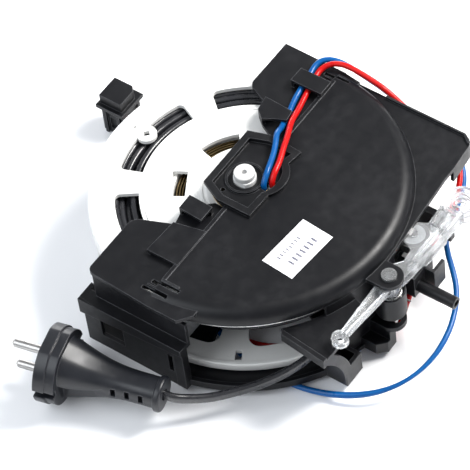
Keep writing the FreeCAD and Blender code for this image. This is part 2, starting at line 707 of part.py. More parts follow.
def cover_dome(body):
    radius, thick = dim.dome_radius, COVER_THICK
    flat, shoulder = radius - dim.dome_round, COVER_TOP - dim.dome_round
    outer_arc = dim.dome_round * (1 - ARC_INSET)
    inner_arc = (dim.dome_round - thick) * (1 - ARC_INSET)
    revolve(body, "dome", [
        (0, COVER_TOP), (flat, COVER_TOP),
        ("arc", (flat + outer_arc, shoulder + outer_arc), (radius, shoulder)),
        (radius, GUARD_TOP), (radius - thick, GUARD_TOP), (radius - thick, shoulder),
        ("arc", (flat + inner_arc, shoulder + inner_arc), (flat, STRIP_TOP)), (0, STRIP_TOP)])
    cut(body, "dome_trim", COVER_TOP + 1.0, COVER_TOP - 13.0, rect(-120.0, -1.5, 120.0, 120.0))


def cover_strips_and_edge(body):
    """Flat strips behind the dome, and the plate and skirts at the right."""
    edge_top = GUARD_TOP + COVER_THICK
    pads(body,
         ("strip_left", STRIP_LOW, STRIP_TOP,
          [(-79.0, -3.6), (-20.4, -3.6), (-20.4, 5.2), (-25.0, 10.4), (-26.0, 17.4),
           (-36.0, 17.0), (-43.0, 15.4), (-49.5, 32.0), ("arc", (-52.6, 36.0), (-57.5, 37.0)),
           (-88.0, 37.0), ("arc", (-90.8, 35.8), (-92.0, 33.0)), (-94.0, -3.0),
           (-94.0, -22.0), (-86.5, -28.0), (-79.0, -28.0)]),
         ("strip_right", STRIP_LOW, STRIP_TOP,
          [(30.4, -3.6), (80.0, -3.6), (80.0, -14.0), (88.6, -14.0), (90.0, -3.0),
           (91.0, 36.5), (60.0, 36.5), ("arc", (56.8, 35.4), (54.6, 32.0)), (51.0, 24.5),
           (49.6, 21.5), (41.0, 20.0), (36.6, 14.5), (32.0, 5.6), (30.4, 5.6)]),
         ("fold_rib_left", STRIP_LOW, COVER_TOP + 0.35, rect(-76.6, -3.5, -20.4, -1.3)),
         ("fold_rib_right", STRIP_LOW, COVER_TOP + 0.35, rect(30.4, -3.5, 80.8, -1.3)),
         ("edge_plate", GUARD_TOP, edge_top,
          [(91.0, -4.0), (90.0, -81.0), ("arc", (88.6, -84.0), (85.0, -86.2)),
           (67.0, -87.6), (60.0, -87.4), (2.0, -91.4), (-3.0, -91.6), (-3.0, -88.6),
           ("arc", polar(88.6, 310.0), (88.4, -4.0))]),
         ("corner_skirt", 46.0, GUARD_TOP + 0.2,
          [(90.5, -60.0), (90.0, -81.0), ("arc", (88.6, -84.0), (85.0, -86.2)),
           (67.0, -87.6), (67.0, -85.6), (84.6, -84.2),
           ("arc", (87.0, -82.8), (88.0, -80.6)), (88.5, -60.0)]),
         ("right_skirt", GUARD_TOP + 0.1, STRIP_TOP,
          [(91.0, 36.5), (89.0, 36.5), (88.2, -4.2), (90.2, -4.2)]),
         ("edge_rib", edge_top, edge_top + 1.6,
          [(90.6, -30.0), (90.0, -80.6), (88.6, -83.0), (85.0, -86.2), (85.2, -85.0),
           (87.6, -82.0), (88.9, -80.4), (89.4, -30.0)]),
         ("pivot_ear", GUARD_TOP, GUARD_TOP + 2.3, ear(-87.4, -88.6),
          circle(*PIVOT, "pivot_hole_radius")))


def cover_clips(body):
    """Bridge clip, finger tabs and hood over the lead channel."""
    pads(body,
         ("clip_leg_a", STRIP_TOP, 66.6, rect(67.0, -3.4, 77.0, -1.4)),
         ("clip_leg_b", STRIP_TOP, 66.6, rect(67.0, 14.4, 77.0, 16.4)),
         ("clip_top", 65.4, 67.0, rect(67.0, -3.4, 77.0, 16.4)),
         ("tab_leg", STRIP_TOP, 66.4,
          [(36.6, 14.6), (41.0, 20.0), (50.5, 21.4), (50.5, 19.4), (42.2, 18.2), (38.2, 13.4)]),
         ("tab_top", 65.2, 66.8,
          [(36.6, 14.6), (41.0, 20.0), (50.5, 21.4), (49.4, 3.2), (42.6, 2.2), (40.4, 7.4)]),
         ("hood", 62.9, 64.5, [(-66.0, -3.4), (-40.0, -3.4), (-44.0, 15.2), (-66.0, 16.5)]),
         ("hood_leg_a", STRIP_TOP, 63.0, rect(-66.0, 14.6, -46.0, 16.2)),
         ("hood_leg_b", STRIP_TOP, 63.0, rect(-66.0, -3.4, -40.0, -1.6)),
         ("left_tab_leg", STRIP_TOP, 66.4,
          [(-36.0, 15.4), (-26.0, 15.6), (-26.0, 17.2), (-36.0, 17.0)]),
         ("left_tab_top", 65.2, 66.8,
          [(-37.0, 2.0), (-26.6, 2.0), (-26.0, 17.2), (-36.0, 17.0)]),
         ("left_tab_leg_b", STRIP_TOP, 66.0,
          [(-28.4, 2.0), (-26.6, 2.0), (-26.0, 16.0), (-27.8, 16.0)]))


def cover_openings(body):
    """Snap hook slots with raised lips, and the opening for the contact box."""
    cut(body, "hook_slots_cut", 65.0, 57.0, rect(-80.4, -14.0, -78.2, 3.5),
        rect(-85.8, -10.0, -83.8, 6.0), rect(83.2, -10.0, 85.2, 6.0), sketch="hook_slots")
    low = STRIP_TOP - 0.5
    pads(body,
         ("slot_lip_a", low, COVER_TOP + 0.2, rect(-77.6, -12.5, -76.6, -1.4)),
         ("slot_lip_b", low, STRIP_TOP + 1.3, rect(-83.4, -12.0, -82.2, 4.0)),
         ("slot_lip_c", low, STRIP_TOP + 1.3, rect(81.4, -12.5, 82.6, 4.0)))
    cut(body, "box_opening_cut", 66.0, 58.0,
        [(-20.4, 7.5), (-20.4, -17.2), (-4.6, -17.6), ("arc", (8.3, -21.0), (18.6, -14.8)),
         (28.4, -16.4), (30.4, 7.5)], sketch="box_opening")


def top_cover():
    body = new_body("top_cover")
    cover_dome(body)
    cover_strips_and_edge(body)
    cover_clips(body)
    cover_openings(body)


def label_plate():
    body = new_body("label_plate")
    x, y = dim.label_wide / 2, dim.label_deep / 2
    pad(body, "label_pad", 0.0, dim.label_thick, rect(-x, -y, x, y), sketch="label_outline",
        length="label_thick")
    body.Placement = Placement(Vector(-24.2, -50.4, COVER_TOP), Rotation(Vector(0, 0, 1), -5.0))


# --------------------------------------------------------------------------
# contact box
# --------------------------------------------------------------------------
LIVE_BLADE_ANGLE, NEUTRAL_BLADE_ANGLE = 30.0, 180.0
BLADE_LOW = 60.6


def contact_box():
    body = new_body("contact_box")
    pad(body, "box_body", 58.7, 64.4,
        [(24.6, 14.8), (-13.4, 14.8), (-18.6, 3.0), (-18.6, -15.8), (-4.4, -16.2),
         ("arc", (8.1, -19.6), (18.4, -13.4)), (27.0, -14.8), (28.4, 3.0)])
    pad(body, "box_rim", COVER_TOP + 0.4, COVER_TOP + 2.4,
        [(26.4, 16.6), (-14.4, 16.6), (-20.6, 3.4), (-20.6, -17.6), (-4.2, -18.2),
         ("arc", (8.2, -21.6), (19.0, -15.2)), (28.8, -16.8), (30.4, 3.4)])
    # hollowed from below, then recessed from above
    cut(body, "box_cavity", 58.6, 61.5,
        [(23.2, 13.2), (-12.4, 13.2), (-17.0, 2.6), (-17.0, -14.2), (-4.8, -14.6),
         ("arc", (8.0, -17.8), (17.8, -11.8)), (25.6, -13.2), (26.8, 2.6)])
    cut(body, "box_recess", 67.0, 63.4,
        [(22.6, 12.6), (-11.8, 12.6), (-16.6, 2.2), (-16.6, -13.6), (-4.8, -14.2),
         ("arc", (8.0, -17.2), (17.4, -11.2)), (25.0, -12.6), (26.2, 2.2)])
    pad(body, "box_ring", 63.3, 64.7, *ring(0, 0, 10.6, 9.4))
    cut(body, "box_holes", 68.0, 56.0, circle(0, 0, 6.45), circle(3.0, -12.9, 4.3),
        circle(-12.0, 6.0, 1.2))


def contact_blade(label, radius, angle):
    body = new_body(label)
    pad(body, label + "_blade", BLADE_LOW, BLADE_LOW + 0.3,
        rect(radius - 1.5, -10.5, radius + 1.5, 2.0), sketch=label + "_strip")
    pad(body, label + "_rivet", 60.8, 61.4, circle(radius, -9.0, 0.9), sketch=label + "_stem")
    turn_body(body, angle)


def contact_brushes():
    body = new_body("contact_brushes")
    centres = [polar(LIVE_RADIUS, LIVE_BLADE_ANGLE), polar(NEUTRAL_RADIUS, NEUTRAL_BLADE_ANGLE)]
    pad(body, "brush_pad", DRUM_TOP + 2.25, BLADE_LOW, *circles(centres, 1.25),
        sketch="brush_outline")


# --------------------------------------------------------------------------
# brake lever group
# --------------------------------------------------------------------------
LEVER_TOP = dim.lever_top
FORK_LOW = 44.4
LEVER_RING = (52.0, -101.9)


def lever_hub_and_plate(body):
    pads(body,
         ("lever_hub", "lever_low", LEVER_TOP, circle(*PIVOT, "lever_hub_radius")),
         ("lever_boss", 33.0, dim.lever_low, circle(*PIVOT, 4.7)),
         ("spring_catch", 44.9, LEVER_TOP - 1.0,
          circle(dim.pivot_x + 7.6, dim.pivot_y + 3.4, 1.0)),
         ("lever_plate", LEVER_TOP - 1.4, LEVER_TOP,
          [(-10.0, -91.4), (-2.0, -92.6), (4.0, -97.2), (12.5, -96.4), (15.4, -88.6),
           ("arc", (22.0, -85.9), (28.6, -88.6)), (31.4, -94.8), (42.0, -94.2),
           (46.0, -97.5), (45.0, -107.2), (30.0, -106.6), (2.0, -104.6), (-8.0, -103.4)]))


def lever_webs(body):
    low = 48.0
    pads(body,
         ("lever_outer_web", low, 55.6,
          [(2.0, -104.6), (30.0, -106.6), (46.0, -107.5), (46.0, -105.9), (30.0, -105.0),
           (2.0, -103.0)]),
         ("lever_outer_web_hub", low, LEVER_TOP,
          [(-8.0, -103.4), (2.2, -104.6), (2.2, -103.0), (-8.0, -101.6)]),
         ("lever_mid_web", low, 55.6,
          [(2.6, -101.8), (44.0, -102.2), (44.0, -100.9), (2.6, -100.6)]),
         ("lever_inner_web", low, 55.4,
          [(31.6, -95.8), (44.0, -94.2), (44.0, -95.6), (31.6, -97.2)]),
         ("lever_cross_a", low, 55.2, rect(31.6, -106.4, 32.9, -96.2)),
         ("lever_cross_b", low, 55.2, rect(42.8, -107.0, 44.1, -94.6)),
         ("lever_cross_c", low, 55.2, rect(6.0, -104.6, 7.3, -101.0)),
         ("lever_cross_d", low, 55.2, rect(18.0, -105.4, 19.3, -101.0)))


def lever_ring_and_fork(body):
    """Ring at the +X end of the lever, and the fork under the roller."""
    pad(body, "ring_outer", 48.0, 55.4, *ring(*LEVER_RING, 9.6, 8.0), sketch="ring_outline")
    pad(body, "ring_disc", 51.0, 52.4, *ring(*LEVER_RING, 8.3, 3.2), sketch="ring_mid_outline")
    pad(body, "ring_inner", 49.0, 55.0, *ring(*LEVER_RING, 5.0, 3.2), sketch="ring_in_outline")
    pad(body, "fork_low", FORK_LOW, FORK_LOW + 1.7,
        [(12.5, -104.4), (12.5, -100.8), (16.6, -95.0), (17.4, -89.6),
         ("arc", (22.0, -87.0), (26.6, -89.6)), (27.4, -95.0), (31.5, -100.8),
         (31.5, -104.9)], sketch="fork_outline")
    pad(body, "fork_web", FORK_LOW, FORK_LOW + 9.0,
        [(12.5, -105.2), (12.5, -101.2), (31.5, -101.2), (31.5, -106.0)])
    cut(body, "fork_hole", 56.0, 42.0, circle(*ROLLER, "roller_pin_radius"),
        sketch="fork_pin_hole")


def lever_arm(body):
    """Ribbed arm that runs towards -X, with a small ring at its end."""
    low = 49.6
    pads(body,
         ("arm_rib_a", low, LEVER_TOP - 0.1,
          [(-8.0, -93.0), (-8.0, -94.6), (-50.5, -95.6), (-50.5, -94.2)]),
         ("arm_rib_b", low, LEVER_TOP - 0.1,
          [(-8.0, -102.0), (-8.0, -100.4), (-50.5, -96.6), (-50.5, -98.0)]),
         ("arm_floor", low, low + 1.0,
          [(-8.0, -94.0), (-8.0, -101.2), (-46.0, -97.6), (-46.0, -94.8)]),
         ("arm_ring", low, low + 4.2, *ring(-53.8, -96.1, 4.6, 2.1)))


def brake_lever():
    body = new_body("brake_lever")
    lever_hub_and_plate(body)
    lever_webs(body)
    lever_ring_and_fork(body)
    lever_arm(body)
    cut(body, "hub_bore", 57.0, 31.0, circle(*PIVOT, "pivot_hole_radius"))


def lever_pin():
    body = new_body("lever_pin")
    pads(body,
         ("pin_shank", 26.4, GUARD_TOP + 2.4, circle(*PIVOT, "pivot_pin_radius")),
         ("pin_head", GUARD_TOP + 2.3, GUARD_TOP + 4.1, circle(*PIVOT, 4.2)))


def pin_clip():
    body = new_body("pin_clip")
    pad(body, "clip_pad", 27.4, 28.4, *ring(*PIVOT, 4.0, "pivot_pin_radius"),
        sketch="clip_outline")
    cut(body, "clip_gap", 28.6, 27.1,
        rect(dim.pivot_x - 1.2, dim.pivot_y - 6.0, dim.pivot_x + 1.2, dim.pivot_y),
        sketch="clip_gap_outline")


def brake_roller():
    body = new_body("brake_roller")
    pad(body, "roller_pad", "roller_low", dim.roller_low + dim.roller_height,
        *ring(*ROLLER, "roller_hub_radius", "roller_bore_radius"), sketch="roller_outline",
        length="roller_height")


def roller_tyre():
    body = new_body("roller_tyre")
    pad(body, "tyre_pad", dim.roller_low + 0.2, dim.roller_low + dim.roller_height - 0.2,
        *ring(*ROLLER, "roller_radius", "roller_hub_radius"), sketch="tyre_outline")


def roller_pin():
    body = new_body("roller_pin")
    pad(body, "roller_pin_pad", FORK_LOW, LEVER_TOP, circle(*ROLLER, "roller_pin_radius"),
        sketch="roller_pin_outline")


def lever_spring():
    """Torsion spring in its cup: lower leg, four turns, upper leg."""
    x, y, radius = dim.pivot_x, dim.pivot_y, 5.9
    points = [(x + radius, y - 8.6, 33.8), (x + radius, y - 5.0, 33.8),
              (x + radius, y - 1.6, 33.85)]
    turns, steps = 4, 12
    for k in range(turns * steps + 1):
        dx, dy = polar(radius, 360.0 * k / steps)
        points.append((x + dx, y + dy, 34.0 + 10.8 * k / (turns * steps)))
    points += [(x + radius, y + 1.6, 45.1), (x + 5.95, y + 3.4, 45.2), (x + 6.0, y + 5.4, 45.2)]
    add_solid("lever_spring", sweep_round(points, 0.42))


# --------------------------------------------------------------------------
# leads and connector
# --------------------------------------------------------------------------
# lead centre lines from the contact box to the connector: x, y, z
BLUE_PATH = [
    (1.2, -11.4, 61.6), (1.2, -11.4, 64.5), (5.0, -10.6, 68.0), (13.1, -8.0, 68.7),
    (24.0, -3.4, 68.6), (31.5, 0.6, 68.2), (35.0, 1.9, 66.3), (38.6, 3.0, 64.2),
    (43.5, 4.6, 63.3), (49.8, 6.0, 63.3), (60.5, 8.8, 63.3), (68.3, 10.0, 63.4),
    (73.5, 10.9, 63.3), (79.5, 11.7, 63.5), (84.5, 12.0, 64.1), (88.6, 10.4, 64.9),
    (91.6, 6.2, 65.0), (93.6, 0.6, 63.6), (94.3, -8.9, 61.2), (94.3, -18.5, 58.9),
    (94.3, -27.9, 55.6), (94.7, -36.5, 50.0), (95.0, -47.0, 44.9), (94.4, -60.0, 40.2),
    (89.6, -76.0, 36.0), (79.0, -85.0, 31.0), (66.0, -89.8, 27.4), (54.0, -92.2, 25.0),
    (45.2, -94.8, 24.0), (35.4, -105.5, 22.5), (25.2, -114.4, 20.0), (13.8, -121.3, 17.5),
    (-1.3, -126.0, 15.5), (-16.5, -126.6, 13.0), (-31.7, -122.3, 10.5), (-43.7, -114.2, 8.5),
    (-53.3, -104.3, 6.5), (-58.6, -93.2, 4.4), (-60.4, -84.0, 2.6), (-61.4, -74.0, 1.9),
    (-63.4, -52.0, 1.9), (-58.0, -22.0, 1.9), (-40.0, 12.0, 1.9), (-14.0, 46.0, 1.9),
    (6.0, 71.0, 1.9), (18.4, 87.0, 1.9), (26.4, 97.4, 2.5), (31.2, 103.2, 3.6),
    (33.0, 107.6, 4.2), (33.0, 111.6, 4.2)]
RED_PATH = [
    (4.8, -14.2, 61.6), (4.8, -14.2, 64.5), (8.4, -13.6, 68.0), (13.8, -12.4, 68.7),
    (24.4, -8.4, 68.7), (33.0, -5.0, 67.8), (40.0, -1.7, 66.4), (44.5, 0.2, 65.4),
    (49.0, 1.6, 64.2), (54.0, 2.7, 63.5), (59.7, 4.0, 63.3), (68.4, 5.9, 63.3),
    (73.5, 6.9, 63.3), (79.2, 7.9, 63.5), (84.0, 7.6, 64.3), (87.8, 4.9, 65.6),
    (90.5, 0.2, 66.1), (92.2, -10.2, 64.6), (92.8, -19.8, 61.8), (92.8, -29.2, 58.5),
    (92.8, -37.8, 53.2), (92.7, -48.0, 47.4), (91.8, -60.0, 43.6), (86.6, -76.0, 40.6),
    (77.0, -84.6, 36.0), (64.0, -89.0, 31.6), (50.0, -91.4, 27.8), (40.0, -92.6, 25.8),
    (28.0, -94.6, 24.4), (14.0, -96.2, 22.2), (7.0, -96.8, 18.6), (2.6, -97.1, 14.6),
    (-0.4, -97.3, 10.6), (-2.3, -97.2, 7.4), (-3.9, -96.5, 4.7), (-5.9, -94.9, 2.9),
    (-8.6, -92.0, 2.05), (-12.4, -87.4, 1.85), (-20.0, -78.4, 1.8), (-32.0, -65.4, 1.8),
    (-43.0, -53.4, 1.85), (-50.4, -41.0, 1.9), (-52.6, -30.0, 1.9), (-50.0, -18.0, 1.9),
    (-34.0, 10.0, 1.9), (-9.0, 43.0, 1.9), (14.6, 73.0, 1.9), (30.6, 94.0, 2.2),
    (36.0, 102.6, 3.6), (37.5, 107.6, 4.2), (37.5, 111.6, 4.2)]


def connector_housing():
    body = new_body("connector_housing")
    pad(body, "conn_body", 0.0, 21.0, rect(28.0, 108.5, 43.0, 123.5), sketch="conn_outline")
    pads(body,
         ("conn_flange", 20.0, 22.4, rect(25.5, 106.5, 45.5, 125.0)),
         ("conn_cap", 22.4, 29.0,
          [(28.0, 108.5), (40.0, 108.5), (43.0, 111.0), (43.0, 123.5), (28.0, 123.5)]),
         ("conn_rib", 0.0, 20.0,
          rect(26.6, 110.0, 28.2, 112.0), rect(26.6, 119.5, 28.2, 121.5),
          rect(28.4, 107.2, 30.4, 108.7), rect(40.6, 107.2, 42.6, 108.7)))
    cut(body, "conn_cavities", -125.2, -112.6, rect(30.0, 2.2, 34.6, 18.6),
        rect(36.4, 2.2, 41.0, 18.6), sketch="conn_cavity_outline", plane="XZ")
    cut(body, "conn_wire_holes", -108.3, -112.9, *circles([(33.0, 4.2), (37.5, 4.2)], 2.2),
        sketch="conn_wire_outline", plane="XZ")
    cut(body, "conn_side_recess", 44.0, 42.2, rect(111.5, 5.0, 116.0, 15.0),
        sketch="conn_side_outline", plane="YZ")
    cut(body, "conn_side_recess2", 27.5, 29.1, rect(113.6, 4.0, 118.0, 13.0),
        sketch="conn_side2_outline", plane="YZ")


def connector_terminals():
    body = new_body("connector_terminals")
    lefts = (30.9, 37.3)
    for x in lefts:
        pad(body, "terminal_%d" % x, 5.8, 17.2, rect(x, 113.0, x + 2.8, 122.4),
            sketch="terminal_outline_%d" % x)
    for x in lefts:
        cut(body, "terminal_gap_%d" % x, 18.0, 5.0, rect(x + 0.9, 114.6, x + 1.9, 123.0),
            sketch="terminal_slot_%d" % x)


# --------------------------------------------------------------------------
# cord lead and plug
# --------------------------------------------------------------------------
# cord centre line from the winding to the plug: x, y, z
CORD_PATH = [
    (2.0, -71.4, 30.0), (-14.0, -72.2, 28.6), (-32.0, -73.4, 26.0), (-46.0, -74.6, 23.2),
    (-55.6, -74.2, 20.8), (-67.5, -68.2, 17.6), (-79.5, -60.0, 15.6), (-90.0, -50.9, 14.5),
    (-99.2, -42.4, 14.6), (-106.6, -34.4, 16.4), (-111.2, -28.6, 18.4), (-112.9, -23.3, 19.5),
    (-114.4, -17.4, 19.75)]
# the plug is built along its own Z: collar at 0, face at plug_length
PLUG_FRAME = frame_along(Vector(-112.9, -23.3, 19.5), Vector(-0.250, 0.967, 0.036))
PLUG_FACE = dim.plug_length
HEAD_LOW = PLUG_FACE - dim.plug_head_thick
CORE_LOW = PLUG_FACE - 9.8
COLLAR = 3.8
CORE_OUTLINE = rounded_rect(27.0, 12.0, 5.0)
# z, width, height, corner radius
NECK_STATIONS = [(0.0, 15.0, 16.0, 6.4), (22.0, 15.6, 17.0, 6.6), (34.0, 19.0, 20.0, 7.6),
                 (45.0, 25.6, 25.0, 9.4), (HEAD_LOW, 33.0, 30.0, 12.0)]


def cord_lead():
    curve, tangent = smooth_curve(CORD_PATH)
    ellipse = Part.Ellipse(Vector(0, 0, 0), dim.cord_wide / 2, dim.cord_high / 2)
    section = Part.Wire([ellipse.toShape()])
    section.Placement = frame_along(Vector(*CORD_PATH[0]), tangent)
    add_solid("cord_lead", Part.Wire([curve.toShape()]).makePipeShell([section], True, False))


def level_edges(shape, levels, reach=0.0):
    """Names of edges flat at one of the z levels that extend beyond reach in x or y."""
    names = []
    for number, edge in enumerate(shape.Edges, 1):
        box = edge.BoundBox
        flat = any(abs(box.ZMin - z) < 1e-4 and abs(box.ZMax - z) < 1e-4 for z in levels)
        if flat and max(map(abs, (box.XMin, box.XMax, box.YMin, box.YMax))) > reach:
            names.append("Edge%d" % number)
    return names


def round_collar(body):
    doc.recompute()
    collar = body.Tip
    edges = level_edges(body.Shape, (0.0, COLLAR), 9.0)
    fillet = body.newObject("PartDesign::Fillet", "plug_collar_round")
    fillet.Base = (collar, edges)
    fillet.Radius = 1.2
    doc.recompute()
    # the rounding may fail where the collar meets the neck; the collar then stays sharp
    if fillet.Shape.isNull() or not fillet.Shape.isValid() or "Invalid" in fillet.State:
        body.removeObject(fillet)
        doc.removeObject(fillet.Name)
        body.Tip = collar
    else:
        body.Tip = fillet


def head_outline(radius):
    """Disc cut off straight at both x ends."""
    x, y = radius * math.cos(0.35), radius * math.sin(0.35)
    return [(-x, -y), ("arc", (0, -radius), (x, -y)), (x, y), ("arc", (0, radius), (-x, y))]


def plug_body():
    body = new_body("plug_body")
    loft(body, "plug_neck", [
        new_sketch(body, "plug_sec_%d" % z, z, "XY", [rounded_rect(width, height, corner)])
        for z, width, height, corner in NECK_STATIONS])
    pad(body, "plug_collar", 0.0, COLLAR, rounded_rect(18.8, 19.6, 8.8))
    round_collar(body)
    radius, over = dim.plug_face_radius, PLUG_FACE + 0.5
    pad(body, "plug_head", HEAD_LOW, PLUG_FACE, head_outline(radius - 0.8))
    pad(body, "plug_face", HEAD_LOW + 5.2, PLUG_FACE, head_outline(radius))
    sides = (("near", 1.0), ("far", -1.0))
    flat_top = HEAD_LOW - 0.1
    for side, sign in sides:
        cut(body, "plug_flat_cut_" + side, 17.0 * sign, 9.3 * sign,
            [(-20.0, flat_top), (2.8, flat_top), ("arc", (0.8, 43.0), (2.4, 33.0)),
             ("arc", (4.6, 28.0), (5.6, 22.0)), (-20.0, 22.0)],
            sketch="plug_flat_" + side, plane="XZ")
    cut(body, "plug_notches", over, over - 14.0, rect(-2.6, radius - 4.0, 2.6, radius + 1.0),
        rect(-2.6, -radius - 1.0, 2.6, -radius + 4.0), sketch="plug_notch_outline")
    cut(body, "plug_core_pocket", over, CORE_LOW, CORE_OUTLINE, sketch="plug_core_outline")
    for side, sign in sides:
        cut(body, "plug_slots_%s_cut" % side, 12.0 * sign, 5.4 * sign,
            *[rect(-1.6, z, 4.0, z + 2.6) for z in (9.2, 16.8, 24.4)],
            sketch="plug_slots_" + side, plane="XZ")
    cut(body, "plug_cord_hole", -0.5, 6.4, circle(0, 0, 3.4), sketch="plug_cord_outline")
    body.Placement = PLUG_FRAME


def pin_circles(radius):
    half = dim.pin_spacing / 2
    return [circle((half, "dims.pin_spacing / 2"), 0, radius),
            circle((-half, "-dims.pin_spacing / 2"), 0, radius)]


def plug_core():
    body = new_body("plug_core")
    pad(body, "core_pad", CORE_LOW, PLUG_FACE + 0.1, CORE_OUTLINE,
        *pin_circles("pin_stem_radius"), sketch="core_outline")
    body.Placement = PLUG_FRAME


def plug_pins():
    body = new_body("plug_pins")
    tip = PLUG_FACE + dim.pin_out
    pad(body, "pin_stems", CORE_LOW, CORE_LOW + 12.0, *pin_circles("pin_stem_radius"))
    pad(body, "pins_pad", PLUG_FACE + 0.1, tip, *pin_circles("pin_radius"),
        sketch="pins_outline")
    doc.recompute()
    pins = body.Tip
    edges = level_edges(body.Shape, (tip,))
    chamfer = body.newObject("PartDesign::Chamfer", "pin_tips")
    chamfer.Base = (pins, edges)
    chamfer.Size = 1.3
    body.Tip = chamfer
    body.Placement = PLUG_FRAME


# --------------------------------------------------------------------------
# build, check and export
# --------------------------------------------------------------------------
drum_lower_half()
drum_upper_half()
spring_cup_lid()
spiral_spring()
slip_ring_carrier()
slip_ring("slip_ring_outer", "ring_outer_radius")
slip_ring("slip_ring_inner", "ring_inner_radius")
bus_strip("bus_strip_live", LIVE_RADIUS, LIVE_ANGLE)
bus_strip("bus_strip_neutral", NEUTRAL_RADIUS, NEUTRAL_ANGLE)
cord_winding()
cord_clamp()
clamp_screws()
centre_axle()
axle_screws()
spring_arbor()
axle_cap()
base_frame()
top_cover()
label_plate()
contact_box()
contact_blade("contact_blade_live", LIVE_RADIUS, LIVE_BLADE_ANGLE)
contact_blade("contact_blade_neutral", NEUTRAL_RADIUS, NEUTRAL_BLADE_ANGLE)
contact_brushes()
brake_lever()
lever_pin()
pin_clip()
brake_roller()
roller_tyre()
roller_pin()
lever_spring()
add_solid("wire_blue", sweep_round(BLUE_PATH, dim.wire_radius))
add_solid("wire_red", sweep_round(RED_PATH, dim.wire_radius))
connector_housing()
connector_terminals()
cord_lead()
plug_body()
plug_core()
plug_pins()
doc.recompute()

faults = []
for item in doc.Objects:
    if "Invalid" in item.State or "Error" in item.State:
        faults.append("%s: state %s" % (item.Name, item.State))
for feature in CUTS:
    before = feature.BaseFeature
    if before is not None and not (feature.Shape.Volume < before.Shape.Volume - 1e-3):
        faults.append("%s cuts nothing" % feature.Name)
for piece in PIECES:
    if piece.Shape.isNull() or not piece.Shape.isValid():
        faults.append("%s: shape null or invalid" % piece.Label)
    elif len(piece.Shape.Solids) < 1:
        faults.append("%s: no solid" % piece.Label)
if faults:
    raise RuntimeError("; ".join(faults))

os.makedirs("parts", exist_ok=True)
for piece in PIECES:
    piece.Shape.exportStep("parts/%s.step" % piece.Label)
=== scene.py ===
# Electric cord reel. The drum turns about the Z axis through the origin, with flat two-core cord
# wound on it. The lead leaves the winding on the -Y side and runs towards -X.
# The scene is in metres. The cord and the camera are laid out in millimetres.
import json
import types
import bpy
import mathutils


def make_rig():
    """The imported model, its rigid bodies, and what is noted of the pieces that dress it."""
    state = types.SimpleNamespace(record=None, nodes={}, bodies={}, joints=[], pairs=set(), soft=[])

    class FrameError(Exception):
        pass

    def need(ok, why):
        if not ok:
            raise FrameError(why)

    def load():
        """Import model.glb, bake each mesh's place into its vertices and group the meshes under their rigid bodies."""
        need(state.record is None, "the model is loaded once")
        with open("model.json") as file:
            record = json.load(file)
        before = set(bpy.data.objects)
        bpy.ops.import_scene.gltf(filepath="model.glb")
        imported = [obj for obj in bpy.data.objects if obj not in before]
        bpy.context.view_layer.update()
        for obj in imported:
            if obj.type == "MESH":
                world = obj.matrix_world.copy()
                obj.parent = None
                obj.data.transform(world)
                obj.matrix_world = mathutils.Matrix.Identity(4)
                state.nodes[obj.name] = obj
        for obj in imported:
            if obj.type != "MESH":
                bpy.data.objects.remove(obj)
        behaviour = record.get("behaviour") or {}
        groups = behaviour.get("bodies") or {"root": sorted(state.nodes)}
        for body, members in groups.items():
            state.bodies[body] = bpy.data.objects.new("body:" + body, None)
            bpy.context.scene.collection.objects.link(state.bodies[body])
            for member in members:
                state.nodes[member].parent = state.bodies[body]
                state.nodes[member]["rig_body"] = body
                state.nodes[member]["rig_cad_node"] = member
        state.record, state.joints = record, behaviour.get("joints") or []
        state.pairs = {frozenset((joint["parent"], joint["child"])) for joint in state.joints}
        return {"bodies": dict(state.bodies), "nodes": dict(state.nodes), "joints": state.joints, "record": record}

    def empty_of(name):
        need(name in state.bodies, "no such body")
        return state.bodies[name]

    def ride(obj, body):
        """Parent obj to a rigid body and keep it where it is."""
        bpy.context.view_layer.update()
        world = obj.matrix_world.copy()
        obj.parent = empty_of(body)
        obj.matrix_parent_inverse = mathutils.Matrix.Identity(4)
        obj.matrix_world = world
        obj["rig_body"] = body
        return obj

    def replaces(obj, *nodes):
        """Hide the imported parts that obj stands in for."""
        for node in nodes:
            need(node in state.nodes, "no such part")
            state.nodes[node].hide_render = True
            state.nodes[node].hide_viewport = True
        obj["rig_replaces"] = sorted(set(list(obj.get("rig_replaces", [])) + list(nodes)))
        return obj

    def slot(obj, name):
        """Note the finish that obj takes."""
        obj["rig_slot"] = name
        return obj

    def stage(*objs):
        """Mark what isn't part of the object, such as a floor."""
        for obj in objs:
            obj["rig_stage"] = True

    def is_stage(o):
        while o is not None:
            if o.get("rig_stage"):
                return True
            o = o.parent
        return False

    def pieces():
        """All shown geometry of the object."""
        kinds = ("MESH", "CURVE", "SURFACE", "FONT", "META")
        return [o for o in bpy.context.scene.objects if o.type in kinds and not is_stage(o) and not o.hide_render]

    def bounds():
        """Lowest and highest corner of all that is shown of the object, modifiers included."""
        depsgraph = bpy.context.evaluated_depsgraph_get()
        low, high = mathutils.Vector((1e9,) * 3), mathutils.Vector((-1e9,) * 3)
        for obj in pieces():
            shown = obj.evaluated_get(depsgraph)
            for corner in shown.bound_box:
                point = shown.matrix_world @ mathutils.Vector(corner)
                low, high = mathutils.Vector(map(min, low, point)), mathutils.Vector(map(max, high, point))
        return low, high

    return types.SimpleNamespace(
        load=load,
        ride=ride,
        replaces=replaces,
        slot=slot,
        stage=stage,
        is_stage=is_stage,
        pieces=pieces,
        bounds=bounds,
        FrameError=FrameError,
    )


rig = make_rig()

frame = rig.load()

import bpy, bmesh, math, json
from mathutils import Vector, Matrix

scene = bpy.context.scene
nodes = frame["nodes"]
CAD_LO, CAD_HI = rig.bounds()
MM = 0.001
Z_AXIS = Vector((0, 0, 1))


